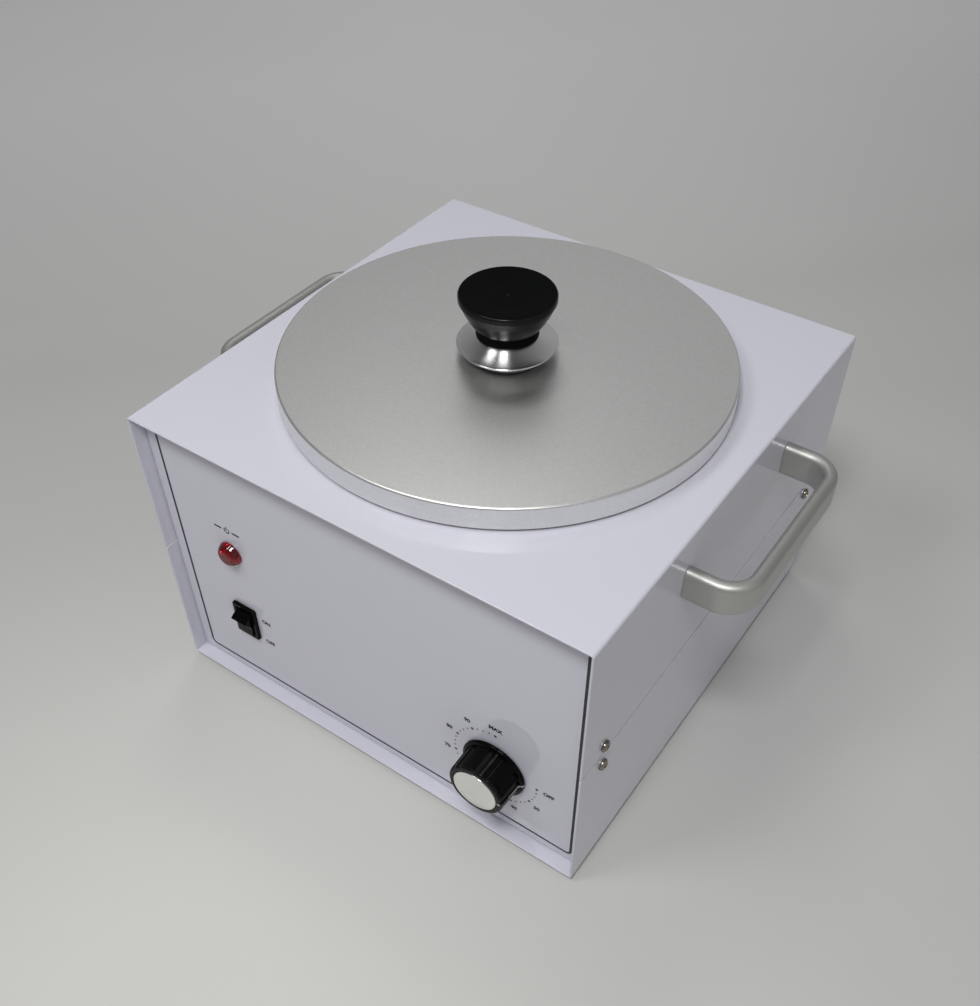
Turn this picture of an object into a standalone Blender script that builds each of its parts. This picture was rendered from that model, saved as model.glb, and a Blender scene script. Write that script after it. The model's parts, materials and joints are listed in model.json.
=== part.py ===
"""Countertop wax warmer with a square case, a round lid and one removable pot.

Metres, +Z up. The front faces -Y, and X is left to right. The part stands on z = 0, and
its origin is at the middle of its bounding box's bottom. All pieces hang from one empty
on the axis of the well, so the coordinates below are measured from that axis.
"""

import math

import bmesh
import bpy
from mathutils import Matrix, Vector

# Driving dimensions of the case
CASE_WIDTH = 0.250
CASE_DEPTH = 0.2529
CASE_HEIGHT = 0.1655
SHEET = 0.0010
BEND_RADIUS = 0.0015
SEAM_HEIGHT = 0.0825
SEAM_GAP = 0.0005
FOOT_HEIGHT = 0.0030
FOOT_RADIUS = 0.0080
FOOT_INSET = 0.0200
PANEL_RECESS = 0.0072
PANEL_FLANGE = 0.0160

# Gap between pieces that touch, and how far a cutter runs past what it cuts
GAP = 0.0003
OVERRUN = 0.0010

# Heating well, pot and lid
LID_SIDE_MARGIN = 0.0164
LID_END_MARGIN = 0.01785
LID_OVERHANG = 0.0100
WELL_WALL = 0.0012
WELL_FLOOR_ROOM = 0.0475
WELL_CORNER = 0.0080
WELL_FLANGE = 0.0069
WELL_HOLE_CLEARANCE = 0.0006
POT_CLEARANCE = 0.0012
POT_WALL = 0.0012
POT_FLOOR_CLEARANCE = 0.0018
POT_RIM_OVERHANG = 0.0068
POT_BEAD_RADIUS = 0.0016
LID_RISE = 0.0128
LID_SHEET = 0.0012
LID_EDGE_RADIUS = 0.0013
LID_HOLE_RADIUS = 0.0029

# Lid knob, measured up from the top of the lid
ESCUTCHEON_RADIUS = 0.0239
ESCUTCHEON_RIM_HEIGHT = 0.0052
ESCUTCHEON_HEIGHT = 0.0114
ESCUTCHEON_SHEET = 0.0010
ESCUTCHEON_FOOT_RADIUS = 0.0190
ESCUTCHEON_SEAT_MARGIN = 0.0003
KNOB_RADIUS = 0.0228
KNOB_HEIGHT = 0.0322
KNOB_LIP_HEIGHT = 0.0032
KNOB_LIP_STEP = 0.0006
KNOB_DISH_DEPTH = 0.0012
KNOB_EDGE_RADIUS = 0.0014
KNOB_NECK_RADIUS = 0.0148
KNOB_NECK_HEIGHT = 0.0052
KNOB_WAIST_RADIUS = 0.0164
KNOB_WAIST_EDGE = 0.0008
LID_SCREW_RADIUS = 0.0025
LID_SCREW_DEPTH = 0.0120
LID_SCREW_HEAD_RADIUS = 0.0046
LID_SCREW_HEAD_HEIGHT = 0.0026

# Heater, insulation and the parts under the well
HEATER_THICKNESS = 0.0030
HEATER_DROP = 0.0350
HEATER_LIFT = 0.0220
HEATER_LUG_THICKNESS = 0.0012
HEATER_LUG_LENGTH = 0.0130
HEATER_GAP = 0.0070
CLAMP_BOLT_RADIUS = 0.0020
CLAMP_HEAD_RADIUS = 0.0036
CLAMP_HEAD_HEIGHT = 0.0028
INSULATION_THICKNESS = 0.0055
INSULATION_DROP = 0.0180
INSULATION_LIFT = 0.0190
INSULATION_GAP = 0.0460
POST_RADIUS = 0.0030
POST_LENGTH = 0.0060
POST_STUD_RADIUS = 0.0015
POST_STUD_LENGTH = 0.0045
POST_SPACING = 0.0240
CUTOUT_RADIUS = 0.0080
CUTOUT_HEIGHT = 0.0090
CUTOUT_BLADE_SPACING = 0.0080
CUTOUT_Y = 0.0300
BULB_RADIUS = 0.0030
BULB_LENGTH = 0.0700
BULB_Y = -0.0420
BULB_CLIP_WIDTH = 0.0100
BULB_CLIP_FOOT = 0.0060
BULB_CLIP_SHEET = 0.0008
CAPILLARY_RADIUS = 0.0010
CAPILLARY_SAG = 0.0078

# Handles
HANDLE_LENGTH = 0.1070
HANDLE_PROJECTION = 0.0300
HANDLE_THICKNESS = 0.0068
HANDLE_BAND = 0.0176
HANDLE_CORNER = 0.0172
HANDLE_CENTRE_Y = 0.0030
HANDLE_DROP = 0.0278
HANDLE_SCREW_RADIUS = 0.0020
HANDLE_SCREW_DEPTH = 0.0100

# Case screws
CASE_SCREW_ABOVE_SEAM = 0.0058
CASE_SCREW_BELOW_SEAM = 0.0080
CASE_SCREW_INSET = 0.0113
CASE_SCREW_RADIUS = 0.0015
CASE_SCREW_LENGTH = 0.0060
CASE_SCREW_HEAD_RADIUS = 0.0030
CASE_SCREW_HEAD_HEIGHT = 0.0018
CROSS_WIDTH = 0.0008
CROSS_LENGTH = 0.0034
CROSS_DEPTH = 0.0010

# Front panel: indicator lamp
LAMP_INSET = 0.0435
LAMP_HEIGHT = 0.0970
LENS_RADIUS = 0.0068
LENS_TIP_RADIUS = 0.0050
LENS_LENGTH = 0.0052
LENS_FLANGE = 0.0008
LAMP_STEM_RADIUS = 0.0048
LAMP_STEM_LENGTH = 0.0050
LAMP_BODY_LENGTH = 0.0180
LAMP_NUT_RADIUS = 0.0080
LAMP_NUT_THICKNESS = 0.0030

# Front panel: rocker switch
ROCKER_INSET = 0.0440
ROCKER_HEIGHT = 0.0485
BEZEL_WIDTH = 0.0150
BEZEL_HEIGHT = 0.0215
BEZEL_THICKNESS = 0.0019
ROCKER_BODY_WIDTH = 0.0128
ROCKER_BODY_HEIGHT = 0.0192
ROCKER_BODY_DEPTH = 0.0130
ROCKER_FLOOR = 0.0020
PADDLE_WIDTH = 0.0100
PADDLE_HALF_LENGTH = 0.0065
PADDLE_END_HEIGHT = 0.0075
PADDLE_MIDDLE_HEIGHT = 0.0054
PADDLE_PIVOT_DEPTH = 0.0042
PADDLE_KEEL_DEPTH = 0.0050
PADDLE_PIN_RADIUS = 0.0010
PADDLE_PIN_LENGTH = 0.0006
ROCKER_CAVITY_HEIGHT = 0.0178
ROCKER_TILT_DEG = 18.0
BLADE_WIDTH = 0.0048
BLADE_THICKNESS = 0.0008
BLADE_LENGTH = 0.0080
ROCKER_BLADE_SPACING = 0.0100

# Front panel: thermostat and its knob
DIAL_INSET = 0.0490
DIAL_HEIGHT = 0.0454
SHAFT_RADIUS = 0.0030
SHAFT_REACH = 0.0130
SHAFT_HOLE_RADIUS = 0.0045
BRACKET_WIDTH = 0.0380
BRACKET_HEIGHT = 0.0240
BRACKET_THICKNESS = 0.0015
BRACKET_SCREW_SPACING = 0.0240
BRACKET_SCREW_RADIUS = 0.0017
BRACKET_SCREW_HEAD_RADIUS = 0.0028
BRACKET_SCREW_HEAD_HEIGHT = 0.0014
THERMOSTAT_WIDTH = 0.0330
THERMOSTAT_HEIGHT = 0.0300
THERMOSTAT_DEPTH = 0.0200
THERMOSTAT_BEVEL = 0.0015
DIAL_KNOB_LENGTH = 0.0168
DIAL_SKIRT_RADIUS = 0.0173
DIAL_SKIRT_THICKNESS = 0.0020
DIAL_SKIRT_LIFT = 0.0007
DIAL_BODY_RADIUS = 0.0153
DIAL_FACE_RADIUS = 0.0149
DIAL_FLUTE_DEPTH = 0.0011
DIAL_FACE_CHAMFER = 0.0010
DIAL_HOLLOW_RADIUS = 0.0157
DIAL_HOLLOW_DEPTH = 0.0024
DIAL_BORE_DEPTH = 0.0120
DIAL_CAP_RADIUS = 0.0118
DIAL_CAP_THICKNESS = 0.0010
DIAL_CAP_PROUD = 0.0003
DIAL_FLUTES = 10

# Rear panel: mains inlet and vents
INLET_INSET = 0.0550
INLET_HEIGHT = 0.0330
INLET_FLANGE_WIDTH = 0.0480
INLET_FLANGE_HEIGHT = 0.0225
INLET_FLANGE_THICKNESS = 0.0030
INLET_BODY_WIDTH = 0.0275
INLET_BODY_HEIGHT = 0.0195
INLET_BODY_DEPTH = 0.0200
INLET_SOCKET_WIDTH = 0.0242
INLET_SOCKET_HEIGHT = 0.0162
INLET_FLOOR = 0.0025
INLET_CHAMFER = 0.0040
INLET_SCREW_SPACING = 0.0400
INLET_SCREW_RADIUS = 0.0015
PIN_WIDTH = 0.0020
PIN_HEIGHT = 0.0040
PIN_LENGTH = 0.0150
PIN_TAIL = 0.0070
PIN_SPACING = 0.0070
EARTH_PIN_RISE = 0.0040
VENT_COUNT = 11
VENT_WIDTH = 0.0026
VENT_LENGTH = 0.0260
VENT_PITCH = 0.0090
VENT_DROP = 0.0405

# Base plate: earth stud, and the leads
EARTH_SIDE_INSET = 0.0250
EARTH_REAR_INSET = 0.05645
EARTH_STUD_RADIUS = 0.0020
EARTH_STUD_HEIGHT = 0.0120
EARTH_STUD_BASE_RADIUS = 0.0050
EARTH_STUD_BASE = 0.0012
LEAD_RADIUS = 0.0015
LEAD_TAIL = 0.0080

# Facets of round pieces, and where smooth shading gives way to an edge
FINE_SIDES = 48
ROUND_SIDES = 30
SMALL_SIDES = 16
SCREW_SIDES = 10
NUT_SIDES = 12
CORNER_STEPS = 3
CUP_STEPS = 2
ROUTE_STEPS = 12
SHARP_DEG = 32.0

# Places that follow from the sizes above
BOTTOM = FOOT_HEIGHT
TOP = BOTTOM + CASE_HEIGHT
SEAM = BOTTOM + SEAM_HEIGHT
FLOOR = BOTTOM + SHEET
PANEL_FRONT = -CASE_DEPTH / 2 + PANEL_RECESS
PANEL_BACK = PANEL_FRONT + SHEET
REAR_FACE = CASE_DEPTH / 2 - PANEL_RECESS
LID_TOP = TOP + LID_RISE
DIAL_FRONT = PANEL_FRONT - DIAL_KNOB_LENGTH - DIAL_CAP_PROUD
CASE_CENTRE_Y = (-DIAL_FRONT - CASE_DEPTH / 2) / 2
LID_RADIUS = min(CASE_WIDTH / 2 - LID_SIDE_MARGIN, CASE_DEPTH / 2 - LID_END_MARGIN)
WELL_RADIUS = LID_RADIUS - LID_OVERHANG
WELL_TOP = TOP + GAP + WELL_WALL
WELL_BOTTOM = FLOOR + WELL_FLOOR_ROOM
HANDLE_MIDDLE = TOP - HANDLE_DROP
LAMP_X = LAMP_INSET - CASE_WIDTH / 2
ROCKER_X = ROCKER_INSET - CASE_WIDTH / 2
DIAL_X = CASE_WIDTH / 2 - DIAL_INSET
INLET_X = CASE_WIDTH / 2 - INLET_INSET
EARTH_X = CASE_WIDTH / 2 - EARTH_SIDE_INSET
EARTH_Y = CASE_DEPTH / 2 - EARTH_REAR_INSET

BACKWARD = Vector((0, 1, 0))
FORWARD = Vector((0, -1, 0))
DOWNWARD = Vector((0, 0, -1))
LEFTWARD = Vector((-1, 0, 0))
RIGHTWARD = Vector((1, 0, 0))
FACING_FRONT = (math.pi / 2, 0, 0)
FACING_RIGHT = (0, math.pi / 2, 0)
FACING_LEFT = (0, -math.pi / 2, 0)


def clear_scene():
    for item in list(bpy.data.objects):
        bpy.data.objects.remove(item, do_unlink=True)


def material(name, colour, roughness, metallic=0.0):
    made = bpy.data.materials.new(name)
    made.use_nodes = True
    shader = made.node_tree.nodes["Principled BSDF"]
    shader.inputs["Base Color"].default_value = (*colour, 1)
    shader.inputs["Roughness"].default_value = roughness
    shader.inputs["Metallic"].default_value = metallic
    made.diffuse_color = (*colour, 1)
    return made


COLOURS = {
    "white_coat": ((0.62, 0.62, 0.68), 0.22, 0.0),
    "satin_aluminium": ((0.62, 0.62, 0.61), 0.38, 1.0),
    "bright_steel": ((0.75, 0.75, 0.76), 0.10, 1.0),
    "zinc": ((0.55, 0.54, 0.50), 0.35, 1.0),
    "black_plastic": ((0.012, 0.012, 0.013), 0.35, 0.0),
    "red_lens": ((0.45, 0.02, 0.03), 0.15, 0.0),
    "rubber": ((0.03, 0.03, 0.03), 0.80, 0.0),
    "ceramic": ((0.75, 0.73, 0.68), 0.45, 0.0),
    "glass_wool": ((0.78, 0.75, 0.62), 0.95, 0.0),
    "mica_steel": ((0.45, 0.42, 0.38), 0.50, 1.0),
    "copper": ((0.60, 0.32, 0.20), 0.30, 1.0),
    "brass": ((0.65, 0.50, 0.22), 0.30, 1.0),
    "lead_brown": ((0.16, 0.07, 0.03), 0.50, 0.0),
    "lead_blue": ((0.03, 0.09, 0.35), 0.50, 0.0),
    "lead_green": ((0.10, 0.35, 0.05), 0.50, 0.0),
}


def centre_empty():
    empty = bpy.data.objects.new("well_axis", None)
    empty.location = (0, CASE_CENTRE_Y, 0)
    bpy.context.collection.objects.link(empty)
    return empty


def add(name, bm, colour, location=(0, 0, 0), rotation=(0, 0, 0)):
    """One named sub-part from a bmesh, hung from the empty on the well's axis."""
    bmesh.ops.recalc_face_normals(bm, faces=bm.faces)
    mesh = bpy.data.meshes.new(name)
    bm.to_mesh(mesh)
    bm.free()
    mesh.shade_smooth()
    mesh.set_sharp_from_angle(angle=math.radians(SHARP_DEG))
    piece = bpy.data.objects.new(name, mesh)
    bpy.context.collection.objects.link(piece)
    piece.parent = AXIS
    piece.location = location
    piece.rotation_euler = rotation
    mesh.materials.append(MATERIALS[colour])
    return piece


def cut(piece, bm, name):
    """Takes the bodies in bm, given in the empty's frame, out of a piece."""
    cutter = add(piece.name + "_" + name, bm, "black_plastic")
    cutter.hide_render = True
    cutter.display_type = "WIRE"
    boolean = piece.modifiers.new(name, "BOOLEAN")
    boolean.object = cutter
    boolean.operation = "DIFFERENCE"
    boolean.solver = "EXACT"


def union(piece, bm, name):
    """Joins the bodies in bm, given in the empty's frame, onto a piece."""
    adder = add(piece.name + "_" + name, bm, "black_plastic")
    adder.hide_render = True
    adder.display_type = "WIRE"
    boolean = piece.modifiers.new(name, "BOOLEAN")
    boolean.object = adder
    boolean.operation = "UNION"
    boolean.solver = "EXACT"


def arc(centre, radius, start_deg, end_deg, steps):
    """Points of an arc in a plane, both ends included."""
    points = []
    for step in range(steps + 1):
        angle = math.radians(start_deg + (end_deg - start_deg) * step / steps)
        points.append((centre[0] + radius * math.cos(angle), centre[1] + radius * math.sin(angle)))
    return points


def add_box(bm, low, high):
    size = Vector(high) - Vector(low)
    middle = (Vector(high) + Vector(low)) / 2
    matrix = Matrix.Translation(middle) @ Matrix.Diagonal((*size, 1))
    return bmesh.ops.create_cube(bm, size=1, matrix=matrix)["verts"]


def box(low, high):
    bm = bmesh.new()
    add_box(bm, low, high)
    return bm


def add_rod(bm, start, end, radius, sides=SCREW_SIDES):
    """A cylinder from one point to another."""
    way = Vector(end) - Vector(start)
    turn = way.to_track_quat("Z", "Y").to_matrix().to_4x4()
    matrix = Matrix.Translation((Vector(start) + Vector(end)) / 2) @ turn
    bmesh.ops.create_cone(
        bm, cap_ends=True, segments=sides, radius1=radius, radius2=radius,
        depth=way.length, matrix=matrix,
    )


def prism(outline, depth, to_point):
    """A closed outline of (u, v) points pushed through depth; to_point(u, v, w) places it."""
    bm = bmesh.new()
    near = [bm.verts.new(to_point(u, v, -depth / 2)) for u, v in outline]
    face = bm.faces.new(near)
    pushed = bmesh.ops.extrude_face_region(bm, geom=[face])["geom"]
    shift = Vector(to_point(0, 0, depth / 2)) - Vector(to_point(0, 0, -depth / 2))
    bmesh.ops.translate(bm, vec=shift, verts=[v for v in pushed if isinstance(v, bmesh.types.BMVert)])
    return bm


def turned(profile, sides, closed=False):
    """A profile of (radius, height) points turned about Z; closed for a ring."""
    bm = bmesh.new()
    rings = []
    for radius, height in profile:
        if radius == 0:
            rings.append([bm.verts.new((0, 0, height))] * sides)
            continue
        ring = []
        for side in range(sides):
            angle = 2 * math.pi * side / sides
            ring.append(bm.verts.new((radius * math.cos(angle), radius * math.sin(angle), height)))
        rings.append(ring)
    pairs = list(zip(rings, rings[1:]))
    if closed:
        pairs.append((rings[-1], rings[0]))
    for lower, upper in pairs:
        for side in range(sides):
            after = (side + 1) % sides
            corners = [lower[side], lower[after], upper[after], upper[side]]
            corners = list(dict.fromkeys(corners))
            if len(corners) > 2:
                bm.faces.new(corners)
    return bm


def ring_profile(inner, outer, low, high):
    return [(inner, low), (outer, low), (outer, high), (inner, high)]


def nut(bore, corner_radius, height):
    """A hexagon nut along Z with a round bore, each of twelve facets."""
    bm = turned(ring_profile(bore, corner_radius, 0, height), NUT_SIDES, closed=True)
    for vert in bm.verts:
        around = round(math.degrees(math.atan2(vert.co.y, vert.co.x)))
        if around % 60 == 30 and vert.co.xy.length > (bore + corner_radius) / 2:
            vert.co.xy *= math.cos(math.radians(30))
    return bm


def screw_profile(head_radius, head_height, shank_radius, shank_length):
    """A pan-head screw along Z, with the underside of its head at zero."""
    crown_shares = ((0.0, 1.0), (0.70, 0.92), (1.0, 0.40), (1.0, 0.0))
    head = [(head_radius * out, head_height * up) for out, up in crown_shares]
    return head + [
        (shank_radius, 0),
        (shank_radius, -shank_length),
        (0, -shank_length),
    ]


def aimed(location, direction):
    """A matrix that takes +Z to a direction at a location."""
    turn = Vector(direction).to_track_quat("Z", "Y").to_matrix().to_4x4()
    return Matrix.Translation(location) @ turn


def cross_recess(place, head_height):
    """A cross-shaped cutter for a screw whose head stands along +Z of a matrix."""
    long, short = CROSS_LENGTH / 2, CROSS_WIDTH / 2
    outline = []
    for x_way, y_way in ((1, 1), (-1, 1), (-1, -1), (1, -1)):
        x_long, x_short = long * x_way, short * x_way
        y_long, y_short = long * y_way, short * y_way
        corner = [(x_long, y_short), (x_short, y_short), (x_short, y_long)]
        outline += corner if x_way == y_way else corner[::-1]
    depth = CROSS_DEPTH + OVERRUN
    middle = head_height - CROSS_DEPTH + depth / 2
    return prism(outline, depth, lambda u, v, w: place @ Vector((u, v, middle + w)))


def add_screw(name, seat, direction, head, shank, crossed=True):
    """A pan-head screw whose head stands on a seat and points in a direction."""
    bm = turned(screw_profile(*head, *shank), SCREW_SIDES)
    place = aimed(seat, direction)
    screw = add(name, bm, "zinc", seat, place.to_euler())
    if crossed:
        cut(screw, cross_recess(place, head[1]), "cross")


def side_name(side):
    return "left" if side < 0 else "right"


def end_name(end):
    return "front" if end < 0 else "rear"


def channel_outline(half_width, reach):
    """Half of the case's sleeve, as an outline in X and Z: a plate at zero with two legs
    that run down to -reach, with bent corners."""
    outer = BEND_RADIUS
    inner = BEND_RADIUS - SHEET
    points = [(-half_width, -reach)]
    points += arc((-half_width + outer, -outer), outer, 180, 90, CORNER_STEPS)
    points += arc((half_width - outer, -outer), outer, 90, 0, CORNER_STEPS)
    points += [(half_width, -reach), (half_width - SHEET, -reach)]
    points += arc((half_width - outer, -outer), inner, 0, 90, CORNER_STEPS)
    points += arc((-half_width + outer, -outer), inner, 90, 180, CORNER_STEPS)
    points += [(-half_width + SHEET, -reach)]
    return points


def case_screw_places():
    """Where the case screws sit on the sides: (side, end, above or below the seam, point)."""
    places = []
    for side in (-1, 1):
        for end in (-1, 1):
            along = end * (-PANEL_FRONT - CASE_SCREW_INSET)
            for level, height in ((1, SEAM + CASE_SCREW_ABOVE_SEAM), (-1, SEAM - CASE_SCREW_BELOW_SEAM)):
                places.append((side, end, level, Vector((side * CASE_WIDTH / 2, along, height))))
    return places


def handle_screw_places():
    """Where the handles' legs stand on the sides: (side, end, point)."""
    places = []
    for side in (-1, 1):
        for end in (-1, 1):
            along = HANDLE_CENTRE_Y + end * (HANDLE_LENGTH - HANDLE_THICKNESS) / 2
            places.append((side, end, Vector((side * CASE_WIDTH / 2, along, HANDLE_MIDDLE))))
    return places


def add_side_holes(bm, places, radius):
    """Holes through the sides' sheets and the panels' flanges behind them."""
    for side, *_, place in places:
        inward = Vector((side * (2 * SHEET + 2 * GAP + OVERRUN), 0, 0))
        outward = Vector((side * OVERRUN, 0, 0))
        add_rod(bm, place - inward, place + outward, radius)


def make_covers():
    outline = channel_outline(CASE_WIDTH / 2, TOP - SEAM - SEAM_GAP / 2)
    bm = prism(outline, CASE_DEPTH, lambda u, v, w: (u, w, TOP + v))
    upper = add("upper_cover", bm, "white_coat")
    holes = bmesh.new()
    well_hole = WELL_RADIUS + WELL_HOLE_CLEARANCE
    add_rod(holes, (0, 0, TOP - SHEET - OVERRUN), (0, 0, TOP + OVERRUN), well_hole, FINE_SIDES)
    upper_screws = [place for place in case_screw_places() if place[2] > 0]
    add_side_holes(holes, upper_screws, CASE_SCREW_RADIUS + GAP)
    add_side_holes(holes, handle_screw_places(), HANDLE_SCREW_RADIUS + GAP)
    cut(upper, holes, "holes")

    outline = channel_outline(CASE_WIDTH / 2, SEAM - SEAM_GAP / 2 - BOTTOM)
    bm = prism(outline, CASE_DEPTH, lambda u, v, w: (u, w, BOTTOM - v))
    lower = add("lower_cover", bm, "white_coat")
    holes = bmesh.new()
    lower_screws = [place for place in case_screw_places() if place[2] < 0]
    add_side_holes(holes, lower_screws, CASE_SCREW_RADIUS + GAP)
    cut(lower, holes, "holes")


def panel_tray():
    """An end panel as a shallow tray, open towards +Y, with its face at y = 0."""
    half_width = CASE_WIDTH / 2 - SHEET - GAP
    low, high = FLOOR + GAP, TOP - SHEET - GAP
    bm = box((-half_width, 0, low), (half_width, PANEL_FLANGE, high))
    bm.faces.ensure_lookup_table()
    back = max(bm.faces, key=lambda face: face.calc_center_median().y)
    bmesh.ops.inset_region(bm, faces=[back], thickness=SHEET)
    pushed = bmesh.ops.extrude_face_region(bm, geom=[back])["geom"]
    bmesh.ops.delete(bm, geom=[back], context="FACES")
    inward = Vector((0, SHEET - PANEL_FLANGE, 0))
    bmesh.ops.translate(bm, vec=inward, verts=[v for v in pushed if isinstance(v, bmesh.types.BMVert)])
    return bm


def make_front_panel():
    panel = add("front_panel", panel_tray(), "white_coat", (0, PANEL_FRONT, 0))
    near, far = PANEL_FRONT - OVERRUN, PANEL_BACK + OVERRUN
    holes = bmesh.new()
    lamp = BOTTOM + LAMP_HEIGHT
    add_rod(holes, (LAMP_X, near, lamp), (LAMP_X, far, lamp), LAMP_STEM_RADIUS + GAP, SMALL_SIDES)
    rocker = BOTTOM + ROCKER_HEIGHT
    half_width = ROCKER_BODY_WIDTH / 2 + GAP
    half_height = ROCKER_BODY_HEIGHT / 2 + GAP
    add_box(
        holes,
        (ROCKER_X - half_width, near, rocker - half_height),
        (ROCKER_X + half_width, far, rocker + half_height),
    )
    dial = BOTTOM + DIAL_HEIGHT
    add_rod(holes, (DIAL_X, near, dial), (DIAL_X, far, dial), SHAFT_HOLE_RADIUS, SMALL_SIDES)
    for side in (-1, 1):
        x = DIAL_X + side * BRACKET_SCREW_SPACING / 2
        add_rod(holes, (x, near, dial), (x, far, dial), BRACKET_SCREW_RADIUS + GAP)
    add_side_holes(holes, case_screw_places(), CASE_SCREW_RADIUS + GAP)
    cut(panel, holes, "holes")


def make_rear_panel():
    panel = add("rear_panel", panel_tray(), "white_coat", (0, REAR_FACE, 0), (0, 0, math.pi))
    near, far = REAR_FACE - SHEET - OVERRUN, REAR_FACE + OVERRUN
    holes = bmesh.new()
    inlet = BOTTOM + INLET_HEIGHT
    half_width = INLET_BODY_WIDTH / 2 + GAP
    half_height = INLET_BODY_HEIGHT / 2 + GAP
    add_box(
        holes,
        (INLET_X - half_width, near, inlet - half_height),
        (INLET_X + half_width, far, inlet + half_height),
    )
    for side in (-1, 1):
        x = INLET_X + side * INLET_SCREW_SPACING / 2
        add_rod(holes, (x, near, inlet), (x, far, inlet), INLET_SCREW_RADIUS + GAP)
    for index in range(VENT_COUNT):
        x = (index - (VENT_COUNT - 1) / 2) * VENT_PITCH
        middle = TOP - VENT_DROP
        add_box(
            holes,
            (x - VENT_WIDTH / 2, near, middle - VENT_LENGTH / 2),
            (x + VENT_WIDTH / 2, far, middle + VENT_LENGTH / 2),
        )
    add_side_holes(holes, case_screw_places(), CASE_SCREW_RADIUS + GAP)
    cut(panel, holes, "holes")


def make_feet():
    for end in (-1, 1):
        for side in (-1, 1):
            x = side * (CASE_WIDTH / 2 - FOOT_INSET)
            y = end * (CASE_DEPTH / 2 - FOOT_INSET)
            edge = FOOT_HEIGHT / 4
            profile = [
                (0, 0),
                (FOOT_RADIUS - edge, 0),
                (FOOT_RADIUS, edge),
                (FOOT_RADIUS, FOOT_HEIGHT - GAP),
                (0, FOOT_HEIGHT - GAP),
            ]
            name = "foot_" + end_name(end) + "_" + side_name(side)
            add(name, turned(profile, SMALL_SIDES), "rubber", (x, y, 0))


def cup_profile(radius, wall, corner, low, high):
    """The wall and floor of a round cup: up the outside, and down the inside."""
    outside = [(0, low)] + arc((radius - corner, low + corner), corner, -90, 0, CUP_STEPS)
    inside = arc((radius - corner, low + corner), corner - wall, 0, -90, CUP_STEPS)
    return outside, [(radius - wall, high)] + inside + [(0, low + wall)]


def make_well():
    outside, inside = cup_profile(WELL_RADIUS, WELL_WALL, WELL_CORNER, WELL_BOTTOM, WELL_TOP)
    flange = [
        (WELL_RADIUS, TOP + GAP),
        (WELL_RADIUS + WELL_FLANGE, TOP + GAP),
        (WELL_RADIUS + WELL_FLANGE, WELL_TOP),
    ]
    add("heating_well", turned(outside + flange + inside, FINE_SIDES), "satin_aluminium")


def make_pot():
    radius = WELL_RADIUS - WELL_WALL - POT_CLEARANCE
    low = WELL_BOTTOM + WELL_WALL + POT_FLOOR_CLEARANCE
    rest = WELL_TOP + GAP
    outside, inside = cup_profile(radius, POT_WALL, WELL_CORNER, low, rest + POT_WALL)
    edge = radius + POT_RIM_OVERHANG
    bead = POT_BEAD_RADIUS
    rim = [(radius, rest)] + arc((edge - bead, rest + bead), bead, -90, 150, CORNER_STEPS + 1)
    rim += [(edge - 2 * bead, rest + POT_WALL)]
    add("wax_pot", turned(outside + rim + inside, FINE_SIDES), "satin_aluminium")


def make_lid():
    inner = LID_RADIUS - LID_SHEET
    edge = LID_EDGE_RADIUS
    profile = [(LID_HOLE_RADIUS, LID_TOP)]
    profile += arc((LID_RADIUS - edge, LID_TOP - edge), edge, 90, 0, CORNER_STEPS)
    profile += [
        (LID_RADIUS, TOP + GAP),
        (inner, TOP + GAP),
        (inner, LID_TOP - LID_SHEET),
        (LID_HOLE_RADIUS, LID_TOP - LID_SHEET),
    ]
    add("lid", turned(profile, FINE_SIDES, closed=True), "satin_aluminium")


def make_escutcheon():
    """A pressed dish, flared down to a rolled rim and turned in to a foot on the lid."""
    sheet = ESCUTCHEON_SHEET
    hole = LID_HOLE_RADIUS
    seat = KNOB_NECK_RADIUS + ESCUTCHEON_SEAT_MARGIN
    rim = ESCUTCHEON_RADIUS
    roll = sheet / 2
    fall = ESCUTCHEON_HEIGHT - ESCUTCHEON_RIM_HEIGHT - roll
    flare_shares = ((0.20, 0.30), (0.45, 0.58), (0.72, 0.84))
    outside = [(hole, ESCUTCHEON_HEIGHT), (seat, ESCUTCHEON_HEIGHT)]
    inside = [(seat, ESCUTCHEON_HEIGHT - sheet), (hole, ESCUTCHEON_HEIGHT - sheet)]
    for out_share, down_share in flare_shares:
        radius = seat + (rim - roll - seat) * out_share
        height = ESCUTCHEON_HEIGHT - fall * down_share
        outside.append((radius, height))
        inside.insert(0, (radius - sheet / 2, height - sheet))
    outside += arc((rim - roll, ESCUTCHEON_RIM_HEIGHT), roll, 90, -60, CORNER_STEPS)
    outside += [
        (ESCUTCHEON_FOOT_RADIUS + sheet, GAP + sheet / 2),
        (ESCUTCHEON_FOOT_RADIUS + sheet / 2, GAP),
        (ESCUTCHEON_FOOT_RADIUS - sheet / 2, GAP),
        (ESCUTCHEON_FOOT_RADIUS, GAP + sheet),
        (rim - 2 * sheet, ESCUTCHEON_RIM_HEIGHT - sheet / 4),
    ]
    profile = outside + inside
    add("lid_escutcheon", turned(profile, ROUND_SIDES, closed=True), "bright_steel", (0, 0, LID_TOP))


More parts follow.
